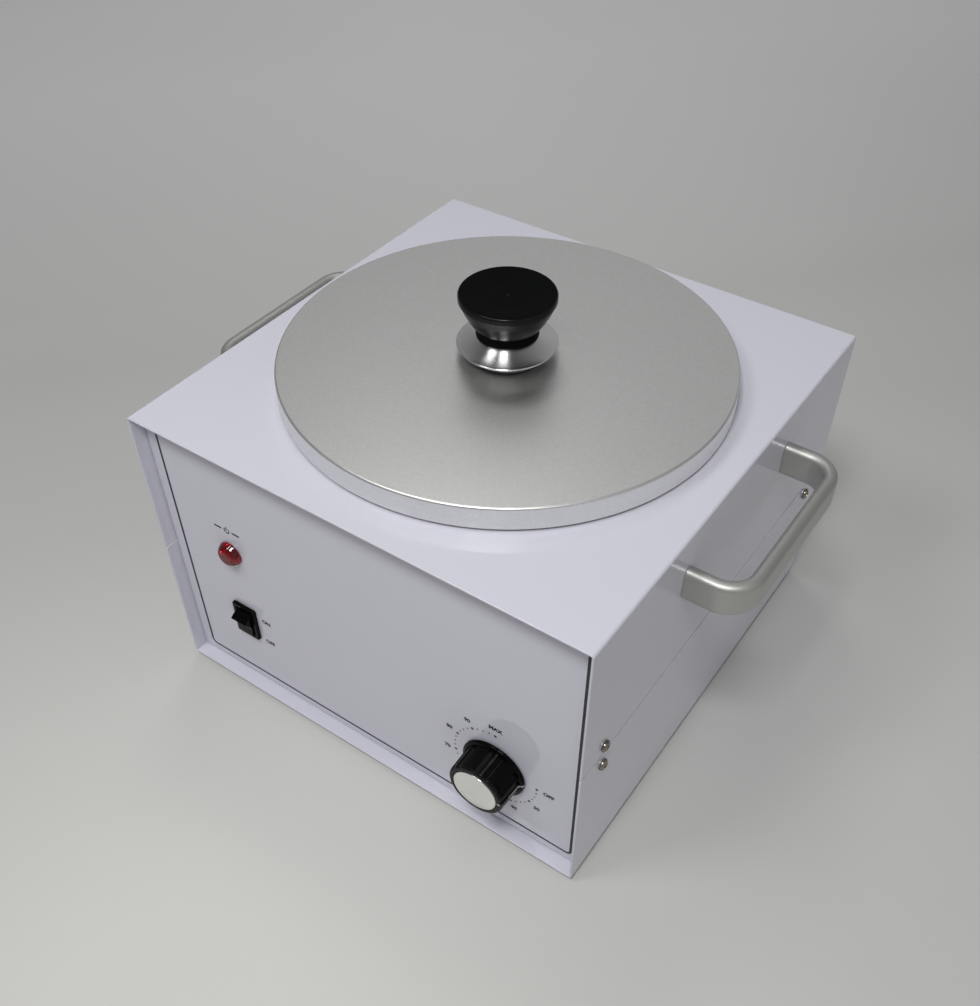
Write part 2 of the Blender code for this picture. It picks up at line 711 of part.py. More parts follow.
def make_lid_knob():
    low = ESCUTCHEON_HEIGHT + GAP
    shoulder = low + KNOB_NECK_HEIGHT
    lip = KNOB_HEIGHT - KNOB_LIP_HEIGHT
    edge = KNOB_EDGE_RADIUS
    bore = LID_SCREW_RADIUS + GAP
    bore_top = low + LID_SCREW_DEPTH + GAP
    under_lip = KNOB_RADIUS - KNOB_LIP_STEP
    waist = shoulder + KNOB_WAIST_EDGE
    profile = [(0, bore_top), (bore, bore_top), (bore, low), (KNOB_NECK_RADIUS, low)]
    profile += [
        (KNOB_NECK_RADIUS, shoulder),
        (KNOB_WAIST_RADIUS - KNOB_WAIST_EDGE, shoulder),
        (KNOB_WAIST_RADIUS, waist),
    ]
    cone_shares = ((0.34, 0.31), (0.68, 0.65), (1.0, 1.0))
    for out_share, up_share in cone_shares:
        radius = KNOB_WAIST_RADIUS + (under_lip - KNOB_WAIST_RADIUS) * out_share
        profile.append((radius, waist + (lip - KNOB_LIP_STEP - waist) * up_share))
    profile += [(under_lip - KNOB_LIP_STEP, lip), (KNOB_RADIUS, lip)]
    profile += arc((KNOB_RADIUS - edge, KNOB_HEIGHT - edge), edge, 0, 90, CORNER_STEPS)
    dish = KNOB_RADIUS - 2 * edge
    dish_shares = ((1.0, 0.25), (0.56, 0.80), (0.0, 1.0))
    for out_share, down_share in dish_shares:
        profile.append((dish * out_share, KNOB_HEIGHT - KNOB_DISH_DEPTH * down_share))
    add("lid_knob", turned(profile, ROUND_SIDES), "black_plastic", (0, 0, LID_TOP))


def make_lid_screw():
    seat = LID_TOP - LID_SHEET - GAP
    length = LID_TOP + ESCUTCHEON_HEIGHT + GAP + LID_SCREW_DEPTH - seat
    head = (LID_SCREW_HEAD_RADIUS, LID_SCREW_HEAD_HEIGHT)
    add_screw("lid_screw", (0, 0, seat), (0, 0, -1), head, (LID_SCREW_RADIUS, length))


def handle_section():
    """The handle's band across its run: thickness by height, with half-round edges."""
    half = HANDLE_THICKNESS / 2
    straight = HANDLE_BAND / 2 - half
    upper = arc((0, straight), half, 0, 180, CORNER_STEPS + 1)
    return upper + arc((0, -straight), half, 180, 360, CORNER_STEPS + 1)


def handle_path():
    """The middle of the band, out from the case, along it, and back, in X and Y."""
    half = HANDLE_THICKNESS / 2
    out = HANDLE_PROJECTION - half
    along = (HANDLE_LENGTH - HANDLE_THICKNESS) / 2
    bend = HANDLE_CORNER - half
    path = [(GAP, -along)]
    path += arc((out - bend, -along + bend), bend, -90, 0, CORNER_STEPS + 2)
    path += arc((out - bend, along - bend), bend, 0, 90, CORNER_STEPS + 2)
    path += [(GAP, along)]
    return [Vector((x, y, 0)) for x, y in path]


def swept(path, section):
    """A section swept along a flat path, turned square to it at each point."""
    bm = bmesh.new()
    rings = []
    for index, point in enumerate(path):
        before = path[max(index - 1, 0)]
        after = path[min(index + 1, len(path) - 1)]
        side = (after - before).normalized().cross(Vector((0, 0, 1)))
        rings.append([bm.verts.new(point + side * u + Vector((0, 0, v))) for u, v in section])
    for near, far in zip(rings, rings[1:]):
        for index in range(len(section)):
            after = (index + 1) % len(section)
            bm.faces.new((near[index], near[after], far[after], far[index]))
    bm.faces.new(rings[0])
    bm.faces.new(rings[-1])
    return bm


def make_handles():
    for side in (-1, 1):
        bm = swept(handle_path(), handle_section())
        bmesh.ops.scale(bm, vec=(side, 1, 1), verts=bm.verts)
        place = (side * CASE_WIDTH / 2, HANDLE_CENTRE_Y, HANDLE_MIDDLE)
        handle = add("handle_" + side_name(side), bm, "satin_aluminium", place)
        holes = bmesh.new()
        for own_side, _, screw in handle_screw_places():
            if own_side == side:
                depth = Vector((side * (HANDLE_SCREW_DEPTH + 2 * GAP), 0, 0))
                start = screw - Vector((side * OVERRUN, 0, 0))
                add_rod(holes, start, screw + depth, HANDLE_SCREW_RADIUS + GAP)
        cut(handle, holes, "screw_holes")


def make_handle_screws():
    """Screws from inside the case, through its sides, into the handles' legs."""
    for side, end, place in handle_screw_places():
        seat = place - Vector((side * (SHEET + GAP), 0, 0))
        name = "handle_screw_" + side_name(side) + "_" + end_name(end)
        head = (CASE_SCREW_HEAD_RADIUS, CASE_SCREW_HEAD_HEIGHT)
        shank = (HANDLE_SCREW_RADIUS, SHEET + GAP + HANDLE_SCREW_DEPTH)
        add_screw(name, seat, (-side, 0, 0), head, shank, crossed=False)


def make_case_screws():
    for side, end, level, place in case_screw_places():
        seat = place + Vector((side * GAP, 0, 0))
        name = "case_screw_" + side_name(side) + "_" + end_name(end)
        name += "_upper" if level > 0 else "_lower"
        head = (CASE_SCREW_HEAD_RADIUS, CASE_SCREW_HEAD_HEIGHT)
        add_screw(name, seat, (side, 0, 0), head, (CASE_SCREW_RADIUS, CASE_SCREW_LENGTH))


def lugged_ring(inner, outer, gap, lug_reach, lug_thickness):
    """A split ring's outline in X and Y, open at +Y, with lugs that stand out at the split."""
    half = gap / 2
    start = math.degrees(math.asin(half / inner))
    points = arc((0, 0), inner, 90 + start, 450 - start, FINE_SIDES)
    lug = half + lug_thickness
    lug_start = math.degrees(math.asin(lug / outer))
    points += [(half, outer + lug_reach), (lug, outer + lug_reach)]
    points += arc((0, 0), outer, 90 - lug_start, lug_start - 270, FINE_SIDES)
    points += [(-lug, outer + lug_reach), (-half, outer + lug_reach)]
    return points


def split_ring(inner, outer, gap):
    """A plain split ring's outline in X and Y, open at +Y."""
    inner_start = math.degrees(math.asin(gap / 2 / inner))
    outer_start = math.degrees(math.asin(gap / 2 / outer))
    points = arc((0, 0), inner, 90 + inner_start, 450 - inner_start, FINE_SIDES)
    return points + arc((0, 0), outer, 90 - outer_start, outer_start - 270, FINE_SIDES)


HEATER_INNER = WELL_RADIUS + GAP
HEATER_OUTER = HEATER_INNER + HEATER_THICKNESS
HEATER_LOW = WELL_BOTTOM + HEATER_LIFT
HEATER_WIDTH = TOP - HEATER_DROP - HEATER_LOW
HEATER_MIDDLE = HEATER_LOW + HEATER_WIDTH / 2


def make_heater():
    outline = lugged_ring(
        HEATER_INNER, HEATER_OUTER, HEATER_GAP, HEATER_LUG_LENGTH, HEATER_LUG_THICKNESS
    )
    bm = prism(outline, HEATER_WIDTH, lambda u, v, w: (u, v, HEATER_MIDDLE + w))
    band = add("heater_band", bm, "mica_steel")
    bolt_share = 0.6
    bolt_y = HEATER_OUTER + HEATER_LUG_LENGTH * bolt_share
    reach = HEATER_GAP / 2 + HEATER_LUG_THICKNESS
    holes = bmesh.new()
    start = (-reach - OVERRUN, bolt_y, HEATER_MIDDLE)
    end = (reach + OVERRUN, bolt_y, HEATER_MIDDLE)
    add_rod(holes, start, end, CLAMP_BOLT_RADIUS + GAP)
    cut(band, holes, "bolt_holes")
    posts = bmesh.new()
    for side in (-1, 1):
        foot, outward = post_place(side)
        root = foot - outward * HEATER_THICKNESS / 2
        add_rod(posts, root, foot + outward * POST_LENGTH, POST_RADIUS)
    union(band, posts, "posts")
    studs = bmesh.new()
    for side in (-1, 1):
        foot, outward = post_place(side)
        shoulder = foot + outward * POST_LENGTH
        root = shoulder - outward * POST_STUD_LENGTH / 2
        add_rod(studs, root, shoulder + outward * POST_STUD_LENGTH, POST_STUD_RADIUS)
    union(band, studs, "studs")

    length = 2 * reach + 3 * GAP + CLAMP_HEAD_HEIGHT
    head = (CLAMP_HEAD_RADIUS, CLAMP_HEAD_HEIGHT)
    seat = (reach + GAP, bolt_y, HEATER_MIDDLE)
    shank = (CLAMP_BOLT_RADIUS, length)
    add_screw("heater_clamp_bolt", seat, (1, 0, 0), head, shank, crossed=False)
    seat = (-reach - GAP, bolt_y, HEATER_MIDDLE)
    clamp_nut = nut(CLAMP_BOLT_RADIUS + GAP, CLAMP_HEAD_RADIUS, CLAMP_HEAD_HEIGHT)
    add("heater_clamp_nut", clamp_nut, "zinc", seat, FACING_LEFT)


def post_place(side):
    """The foot of a heater terminal post on the band's outside, and the way it points."""
    x = side * POST_SPACING / 2
    y = math.sqrt(HEATER_OUTER**2 - x**2)
    return Vector((x, y, HEATER_MIDDLE - HEATER_WIDTH / 4)), Vector((x, y, 0)).normalized()


def make_insulation():
    inner = HEATER_OUTER + GAP
    outline = split_ring(inner, inner + INSULATION_THICKNESS, INSULATION_GAP)
    low, high = WELL_BOTTOM + INSULATION_LIFT, TOP - INSULATION_DROP
    middle = (low + high) / 2
    bm = prism(outline, high - low, lambda u, v, w: (u, v, middle + w))
    add("insulation_jacket", bm, "glass_wool")


def make_cutout():
    """The over-temperature cut-out, a small disc switch under the well."""
    seat = WELL_BOTTOM - GAP
    profile = [(0, 0), (CUTOUT_RADIUS, 0), (CUTOUT_RADIUS, -CUTOUT_HEIGHT), (0, -CUTOUT_HEIGHT)]
    cutout = add("thermal_cutout", turned(profile, SMALL_SIDES), "ceramic", (0, CUTOUT_Y, seat))
    blades = bmesh.new()
    for side in (-1, 1):
        x = side * CUTOUT_BLADE_SPACING / 2
        low = (x - BLADE_THICKNESS / 2, CUTOUT_Y - BLADE_WIDTH / 2, cutout_blade_end())
        high = (x + BLADE_THICKNESS / 2, CUTOUT_Y + BLADE_WIDTH / 2, seat - CUTOUT_HEIGHT / 2)
        add_box(blades, low, high)
    union(cutout, blades, "blades")


def cutout_blade_end():
    return WELL_BOTTOM - GAP - CUTOUT_HEIGHT - BLADE_LENGTH


def make_bulb():
    middle = WELL_BOTTOM - GAP - BULB_RADIUS
    round_end = BULB_RADIUS / 2
    half = BULB_LENGTH / 2
    profile = [
        (0, -half),
        (BULB_RADIUS - round_end, -half),
        (BULB_RADIUS, -half + round_end),
        (BULB_RADIUS, half - round_end),
        (BULB_RADIUS - round_end, half),
        (0, half),
    ]
    bulb = turned(profile, SCREW_SIDES)
    add("thermostat_bulb", bulb, "copper", (0, BULB_Y, middle), FACING_RIGHT)

    inner = BULB_RADIUS + GAP
    outer = inner + BULB_CLIP_SHEET
    toe = outer + BULB_CLIP_FOOT
    top = BULB_RADIUS
    under = top - BULB_CLIP_SHEET
    outline = [(-toe, top), (-toe, under), (-outer, under)]
    outline += arc((0, 0), outer, 180, 360, 2 * CORNER_STEPS)
    outline += [(outer, under), (toe, under), (toe, top), (inner, top)]
    outline += arc((0, 0), inner, 360, 180, 2 * CORNER_STEPS)
    outline += [(-inner, top)]
    bm = prism(outline, BULB_CLIP_WIDTH, lambda u, v, w: (w, BULB_Y + u, middle + v))
    add("bulb_clip", bm, "zinc")


def make_lamp():
    height = BOTTOM + LAMP_HEIGHT
    place = (LAMP_X, PANEL_FRONT, height)
    tip = LENS_LENGTH
    soft = (LENS_RADIUS - LENS_TIP_RADIUS) / 3
    stem = LAMP_STEM_RADIUS
    profile = [
        (0, -LAMP_STEM_LENGTH),
        (stem, -LAMP_STEM_LENGTH),
        (stem, GAP),
        (LENS_RADIUS, GAP),
        (LENS_RADIUS, GAP + LENS_FLANGE),
        (LENS_TIP_RADIUS, tip - soft),
        (LENS_TIP_RADIUS - soft, tip),
        (0, tip),
    ]
    add("lamp_lens", turned(profile, SMALL_SIDES), "red_lens", place, FACING_FRONT)
    start = -LAMP_STEM_LENGTH - GAP
    profile = [(0, start), (stem, start), (stem, start - LAMP_BODY_LENGTH), (0, start - LAMP_BODY_LENGTH)]
    add("lamp_body", turned(profile, SMALL_SIDES), "black_plastic", place, FACING_FRONT)
    back = -SHEET - GAP
    ring = ring_profile(stem + GAP, LAMP_NUT_RADIUS, back - LAMP_NUT_THICKNESS, back)
    add("lamp_nut", turned(ring, SMALL_SIDES, closed=True), "black_plastic", place, FACING_FRONT)


def make_rocker():
    height = BOTTOM + ROCKER_HEIGHT
    face = PANEL_FRONT - GAP - BEZEL_THICKNESS
    back = PANEL_FRONT + ROCKER_BODY_DEPTH
    bezel_low = (ROCKER_X - BEZEL_WIDTH / 2, face, height - BEZEL_HEIGHT / 2)
    bezel_high = (ROCKER_X + BEZEL_WIDTH / 2, PANEL_FRONT - GAP, height + BEZEL_HEIGHT / 2)
    housing = add("rocker_housing", box(bezel_low, bezel_high), "black_plastic")
    body = box(
        (ROCKER_X - ROCKER_BODY_WIDTH / 2, face + BEZEL_THICKNESS / 2, height - ROCKER_BODY_HEIGHT / 2),
        (ROCKER_X + ROCKER_BODY_WIDTH / 2, back, height + ROCKER_BODY_HEIGHT / 2),
    )
    union(housing, body, "body")
    hollow = bmesh.new()
    half_width = PADDLE_WIDTH / 2 + GAP
    add_box(
        hollow,
        (ROCKER_X - half_width, face - OVERRUN, height - ROCKER_CAVITY_HEIGHT / 2),
        (ROCKER_X + half_width, back - ROCKER_FLOOR, height + ROCKER_CAVITY_HEIGHT / 2),
    )
    cut(housing, hollow, "hollow")
    pivot = (ROCKER_X, face + PADDLE_PIVOT_DEPTH, height)
    sockets = bmesh.new()
    reach = PADDLE_WIDTH / 2 + PADDLE_PIN_LENGTH + GAP
    start = (pivot[0] - reach, pivot[1], pivot[2])
    end = (pivot[0] + reach, pivot[1], pivot[2])
    add_rod(sockets, start, end, PADDLE_PIN_RADIUS + GAP)
    cut(housing, sockets, "sockets")
    blades = bmesh.new()
    for side in (-1, 1):
        z = height + side * ROCKER_BLADE_SPACING / 2
        add_box(
            blades,
            (ROCKER_X - BLADE_WIDTH / 2, back - ROCKER_FLOOR / 2, z - BLADE_THICKNESS / 2),
            (ROCKER_X + BLADE_WIDTH / 2, back + BLADE_LENGTH, z + BLADE_THICKNESS / 2),
        )
    union(housing, blades, "blades")
    make_paddle(pivot)


def make_paddle(pivot):
    """The rocker's paddle, a valley between two raised ends, tipped to OFF."""
    half = PADDLE_HALF_LENGTH
    rise = PADDLE_END_HEIGHT - PADDLE_MIDDLE_HEIGHT
    valley_shares = ((-1.0, 1.0), (-0.55, 0.50), (-0.15, 0.06), (0.15, 0.06), (0.55, 0.50), (1.0, 1.0))
    outline = [(half * along, PADDLE_MIDDLE_HEIGHT + rise * up) for along, up in valley_shares]
    end_shares = ((1.14, 0.58), (1.14, 0.15))
    outline += [(half * along, PADDLE_END_HEIGHT * up) for along, up in end_shares]
    keel_shares = ((0.9, 0.3), (0.3, 1.0), (-0.3, 1.0), (-0.9, 0.3))
    outline += [(half * along, -PADDLE_KEEL_DEPTH * down) for along, down in keel_shares]
    outline += [(-half * along, PADDLE_END_HEIGHT * up) for along, up in reversed(end_shares)]
    bm = prism(outline, PADDLE_WIDTH, lambda u, v, w: (w, -v, u))
    tilt = (math.radians(ROCKER_TILT_DEG), 0, 0)
    paddle = add("rocker_paddle", bm, "black_plastic", pivot, tilt)
    pins = bmesh.new()
    reach = PADDLE_WIDTH / 2 + PADDLE_PIN_LENGTH
    start = (pivot[0] - reach, pivot[1], pivot[2])
    end = (pivot[0] + reach, pivot[1], pivot[2])
    add_rod(pins, start, end, PADDLE_PIN_RADIUS)
    union(paddle, pins, "pins")


def fluted_ring(bm, radius, depth, height):
    """One ring of the knob's body: round lands with narrow grooves between them."""
    ring = []
    groove_shares = (0.0, 0.11, 0.37, 0.63, 0.89)
    for flute in range(DIAL_FLUTES):
        for share in groove_shares:
            angle = 2 * math.pi * (flute + share) / DIAL_FLUTES
            reach = radius - depth if share == 0 else radius
            ring.append(bm.verts.new((reach * math.cos(angle), reach * math.sin(angle), height)))
    return ring


def dial_knob():
    """The knob, with its axis on Z and its face up: hollow back, skirt, flutes, face."""
    bm = bmesh.new()
    top = DIAL_KNOB_LENGTH
    skirt_top = DIAL_SKIRT_LIFT + DIAL_SKIRT_THICKNESS
    hollow = DIAL_SKIRT_LIFT + DIAL_HOLLOW_DEPTH
    pocket = DIAL_CAP_RADIUS + GAP
    pocket_floor = top + DIAL_CAP_PROUD - DIAL_CAP_THICKNESS - GAP
    levels = [
        (DIAL_HOLLOW_RADIUS, 0, hollow),
        (DIAL_HOLLOW_RADIUS, 0, DIAL_SKIRT_LIFT),
        (DIAL_SKIRT_RADIUS, 0, DIAL_SKIRT_LIFT),
        (DIAL_SKIRT_RADIUS, 0, skirt_top - DIAL_SKIRT_THICKNESS / 4),
        (DIAL_SKIRT_RADIUS - DIAL_SKIRT_THICKNESS / 4, 0, skirt_top),
        (DIAL_BODY_RADIUS, DIAL_FLUTE_DEPTH, skirt_top),
        (DIAL_FACE_RADIUS, DIAL_FLUTE_DEPTH, top - DIAL_FACE_CHAMFER),
        (DIAL_FACE_RADIUS - DIAL_FACE_CHAMFER, 0, top),
        (pocket, 0, top),
        (pocket, 0, pocket_floor),
    ]
    rings = [fluted_ring(bm, *level) for level in levels]
    count = len(rings[0])
    for lower, upper in zip(rings, rings[1:]):
        for index in range(count):
            after = (index + 1) % count
            bm.faces.new((lower[index], lower[after], upper[after], upper[index]))
    bm.faces.new(rings[0])
    bm.faces.new(rings[-1])
    return bm


def make_thermostat():
    height = BOTTOM + DIAL_HEIGHT
    place = (DIAL_X, PANEL_FRONT, height)
    knob = add("thermostat_knob", dial_knob(), "black_plastic", place, FACING_FRONT)
    bore = bmesh.new()
    bore_end = (DIAL_X, PANEL_FRONT - DIAL_BORE_DEPTH, height)
    add_rod(bore, (DIAL_X, PANEL_FRONT, height), bore_end, SHAFT_RADIUS + GAP, SMALL_SIDES)
    cut(knob, bore, "bore")
    cap_top = DIAL_KNOB_LENGTH + DIAL_CAP_PROUD
    cap_low = cap_top - DIAL_CAP_THICKNESS
    edge = DIAL_CAP_THICKNESS / 3
    profile = [
        (0, cap_low),
        (DIAL_CAP_RADIUS, cap_low),
        (DIAL_CAP_RADIUS, cap_top - edge),
        (DIAL_CAP_RADIUS - edge, cap_top),
        (0, cap_top),
    ]
    add("knob_face_disc", turned(profile, ROUND_SIDES), "satin_aluminium", place, FACING_FRONT)

    bracket_front = PANEL_BACK + GAP
    body_front = bracket_front + BRACKET_THICKNESS + GAP
    body_back = thermostat_back()
    shaft_end = body_front + SHAFT_REACH / 2
    profile = [
        (0, PANEL_FRONT - shaft_end),
        (SHAFT_RADIUS, PANEL_FRONT - shaft_end),
        (SHAFT_RADIUS, DIAL_BORE_DEPTH - 2 * GAP),
        (0, DIAL_BORE_DEPTH - 2 * GAP),
    ]
    add("thermostat_shaft", turned(profile, SMALL_SIDES), "zinc", place, FACING_FRONT)

    plate = box(
        (DIAL_X - BRACKET_WIDTH / 2, bracket_front, height - BRACKET_HEIGHT / 2),
        (DIAL_X + BRACKET_WIDTH / 2, bracket_front + BRACKET_THICKNESS, height + BRACKET_HEIGHT / 2),
    )
    bracket = add("thermostat_bracket", plate, "zinc")
    near, far = bracket_front - OVERRUN, bracket_front + BRACKET_THICKNESS + OVERRUN
    holes = bmesh.new()
    add_rod(holes, (DIAL_X, near, height), (DIAL_X, far, height), SHAFT_RADIUS + GAP, SMALL_SIDES)
    for side in (-1, 1):
        x = DIAL_X + side * BRACKET_SCREW_SPACING / 2
        add_rod(holes, (x, near, height), (x, far, height), BRACKET_SCREW_RADIUS + GAP)
    cut(bracket, holes, "holes")

    head = (BRACKET_SCREW_HEAD_RADIUS, BRACKET_SCREW_HEAD_HEIGHT)
    shank = (BRACKET_SCREW_RADIUS, GAP + SHEET + GAP + BRACKET_THICKNESS)
    for side in (-1, 1):
        seat = (DIAL_X + side * BRACKET_SCREW_SPACING / 2, PANEL_FRONT - GAP, height)
        add_screw("thermostat_screw_" + side_name(side), seat, FORWARD, head, shank, crossed=False)

    case = box(
        (DIAL_X - THERMOSTAT_WIDTH / 2, body_front, height - THERMOSTAT_HEIGHT / 2),
        (DIAL_X + THERMOSTAT_WIDTH / 2, body_back, height + THERMOSTAT_HEIGHT / 2),
    )
    long_edges = [edge for edge in case.edges if abs((edge.verts[0].co - edge.verts[1].co).y) > OVERRUN]
    bmesh.ops.bevel(case, geom=long_edges, offset=THERMOSTAT_BEVEL, segments=2, affect="EDGES")
    body = add("thermostat_body", case, "ceramic")
    bore = bmesh.new()
    end = shaft_end + GAP
    add_rod(bore, (DIAL_X, near, height), (DIAL_X, end, height), SHAFT_RADIUS + GAP, SMALL_SIDES)
    cut(body, bore, "bore")
    blades = bmesh.new()
    for x, z in thermostat_blade_places():
        add_box(
            blades,
            (x - BLADE_WIDTH / 2, body_back - BLADE_LENGTH / 2, z - BLADE_THICKNESS / 2),
            (x + BLADE_WIDTH / 2, body_back + BLADE_LENGTH, z + BLADE_THICKNESS / 2),
        )
    union(body, blades, "blades")


def thermostat_back():
    return PANEL_BACK + BRACKET_THICKNESS + THERMOSTAT_DEPTH + 2 * GAP


def thermostat_blade_places():
    """The two terminal blades' middles, at the left and right of the body's back."""
    places = []
    for side in (-1, 1):
        x = DIAL_X + side * THERMOSTAT_WIDTH / 4
        places.append((x, BOTTOM + DIAL_HEIGHT - THERMOSTAT_HEIGHT / 4))
    return places


def chamfered_outline(half_width, half_height, chamfer):
    """A rectangle with its two upper corners cut off, as a mains inlet's socket has."""
    return [
        (-half_width, -half_height),
        (half_width, -half_height),
        (half_width, half_height - chamfer),
        (half_width - chamfer, half_height),
        (-half_width + chamfer, half_height),
        (-half_width, half_height - chamfer),
    ]


def pin_height(column):
    """The middle pin, for earth, stands higher than the outer two."""
    rise = EARTH_PIN_RISE / 2 if column == 0 else -EARTH_PIN_RISE / 2
    return BOTTOM + INLET_HEIGHT + rise


INLET_BACK = REAR_FACE + GAP - INLET_BODY_DEPTH


def make_inlet():
    height = BOTTOM + INLET_HEIGHT
    seat = REAR_FACE + GAP
    face = seat + INLET_FLANGE_THICKNESS
    flange = box(
        (INLET_X - INLET_FLANGE_WIDTH / 2, seat, height - INLET_FLANGE_HEIGHT / 2),
        (INLET_X + INLET_FLANGE_WIDTH / 2, face, height + INLET_FLANGE_HEIGHT / 2),
    )
    body = add("inlet_body", flange, "black_plastic")
    barrel = box(
        (INLET_X - INLET_BODY_WIDTH / 2, INLET_BACK, height - INLET_BODY_HEIGHT / 2),
        (INLET_X + INLET_BODY_WIDTH / 2, seat + INLET_FLANGE_THICKNESS / 2, height + INLET_BODY_HEIGHT / 2),
    )
    union(body, barrel, "barrel")
    outline = chamfered_outline(INLET_SOCKET_WIDTH / 2, INLET_SOCKET_HEIGHT / 2, INLET_CHAMFER)
    low, high = INLET_BACK + INLET_FLOOR, face + OVERRUN
    middle = (low + high) / 2
    socket = prism(outline, high - low, lambda u, v, w: (INLET_X + u, middle + w, height + v))
    for side in (-1, 1):
        x = INLET_X + side * INLET_SCREW_SPACING / 2
        start, end = (x, seat - OVERRUN, height), (x, face + OVERRUN, height)
        add_rod(socket, start, end, INLET_SCREW_RADIUS + GAP)
    cut(body, socket, "socket")
    pins = bmesh.new()
    tail, tip = INLET_BACK - PIN_TAIL, INLET_BACK + INLET_FLOOR + PIN_LENGTH
    for column in (-1, 0, 1):
        x, z = INLET_X + column * PIN_SPACING, pin_height(column)
        add_box(
            pins,
            (x - PIN_WIDTH / 2, tail, z - PIN_HEIGHT / 2),
            (x + PIN_WIDTH / 2, tip, z + PIN_HEIGHT / 2),
        )
    union(body, pins, "pins")

    head = (CASE_SCREW_HEAD_RADIUS, CASE_SCREW_HEAD_HEIGHT)
    shank = (INLET_SCREW_RADIUS, GAP + INLET_FLANGE_THICKNESS + GAP + SHEET + CASE_SCREW_LENGTH / 2)
    for side in (-1, 1):
        seat = (INLET_X + side * INLET_SCREW_SPACING / 2, face + GAP, height)
        add_screw("inlet_screw_" + side_name(side), seat, BACKWARD, head, shank)


def make_earth():
    low = FLOOR + GAP
    profile = [
        (0, 0),
        (EARTH_STUD_BASE_RADIUS, 0),
        (EARTH_STUD_BASE_RADIUS, EARTH_STUD_BASE),
        (EARTH_STUD_RADIUS, EARTH_STUD_BASE),
        (EARTH_STUD_RADIUS, EARTH_STUD_HEIGHT),
        (0, EARTH_STUD_HEIGHT),
    ]
    add("earth_stud", turned(profile, SCREW_SIDES), "brass", (EARTH_X, EARTH_Y, low))


def smooth_route(points, spacing):
    """A route whose first and last runs are straight, with a Catmull-Rom curve through the
    points between them, read off at about even steps."""
    fine = []
    for before, start, end, after in zip(points, points[1:], points[2:], points[3:]):
        for step in range(ROUTE_STEPS):
            t = step / ROUTE_STEPS
            square = 2 * before - 5 * start + 4 * end - after
            cube = 3 * start - before - 3 * end + after
            fine.append((2 * start + (end - before) * t + square * t**2 + cube * t**3) / 2)
    fine.append(points[-2])
    lengths = [0]
    for near, far in zip(fine, fine[1:]):
        lengths.append(lengths[-1] + (far - near).length)
    count = max(2, round(lengths[-1] / spacing))
    route = [points[0]]
    index = 0
    for step in range(count + 1):
        wanted = lengths[-1] * step / count
        while index < len(fine) - 2 and lengths[index + 1] < wanted:
            index += 1
        share = (wanted - lengths[index]) / (lengths[index + 1] - lengths[index])
        route.append(fine[index].lerp(fine[index + 1], min(share, 1)))
    return route + [points[-1]]


def add_tube(name, points, radius, colour):
    """A lead or a capillary as a round tube along a smooth route."""
    curve = bpy.data.curves.new(name, "CURVE")
    curve.dimensions = "3D"
    curve.bevel_depth = radius
    curve.bevel_resolution = 2
    curve.use_fill_caps = True
    route = smooth_route(points, 6 * radius)
    spline = curve.splines.new("POLY")
    spline.points.add(len(route) - 1)
    for point, place in zip(spline.points, route):
        point.co = (*place, 1)
    tube = bpy.data.objects.new(name, curve)
    bpy.context.collection.objects.link(tube)
    tube.parent = AXIS
    curve.materials.append(MATERIALS[colour])


def add_lead(name, colour, start, shares, end):
    """A lead between two ends, each a point and the way the lead leaves it. Its points
    between are shares of the case's half width, half depth and height."""
    points = [start[0], start[0] + start[1] * LEAD_TAIL]
    for x_share, y_share, z_share in shares:
        x, y = x_share * CASE_WIDTH / 2, y_share * CASE_DEPTH / 2
        points.append(Vector((x, y, BOTTOM + z_share * CASE_HEIGHT)))
    points += [end[0] + end[1] * LEAD_TAIL, end[0]]
    add_tube(name, points, LEAD_RADIUS, colour)


def pin_end(column):
    x = INLET_X + column * PIN_SPACING
    return Vector((x, INLET_BACK - PIN_TAIL - GAP, pin_height(column))), FORWARD


def pin_side_end():
    """Beside the neutral pin's tail, where the lamp's lead joins it."""
    x = INLET_X + PIN_SPACING + PIN_WIDTH / 2 + GAP
    return Vector((x, INLET_BACK - PIN_TAIL / 2, pin_height(1))), RIGHTWARD


def rocker_end(side):
    y = PANEL_FRONT + ROCKER_BODY_DEPTH + BLADE_LENGTH + GAP
    z = BOTTOM + ROCKER_HEIGHT + side * ROCKER_BLADE_SPACING / 2
    return Vector((ROCKER_X, y, z)), BACKWARD


def rocker_side_end():
    """Beside the rocker's lower blade, where the lamp's lead joins it."""
    y = PANEL_FRONT + ROCKER_BODY_DEPTH + BLADE_LENGTH / 2
    z = BOTTOM + ROCKER_HEIGHT - ROCKER_BLADE_SPACING / 2
    return Vector((ROCKER_X + BLADE_WIDTH / 2 + GAP, y, z)), RIGHTWARD


def thermostat_end(side):
    x, z = thermostat_blade_places()[(side + 1) // 2]
    return Vector((x, thermostat_back() + BLADE_LENGTH + GAP, z)), BACKWARD


def cutout_end(side):
    z = cutout_blade_end() - GAP
    return Vector((side * CUTOUT_BLADE_SPACING / 2, CUTOUT_Y, z)), DOWNWARD


def post_end(side):
    """Under a heater post's stud."""
    foot, outward = post_place(side)
    middle = foot + outward * (POST_LENGTH + POST_STUD_LENGTH / 2)
    return middle - Vector((0, 0, POST_STUD_RADIUS + GAP)), DOWNWARD


def lamp_end(side):
    y = PANEL_FRONT + LAMP_STEM_LENGTH + LAMP_BODY_LENGTH + 2 * GAP
    x = LAMP_X + side * LAMP_STEM_RADIUS / 2
    return Vector((x, y, BOTTOM + LAMP_HEIGHT)), BACKWARD


def earth_end():
    height_share = 0.75
    z = FLOOR + GAP + EARTH_STUD_HEIGHT * height_share
    return Vector((EARTH_X - EARTH_STUD_RADIUS - GAP, EARTH_Y, z)), LEFTWARD


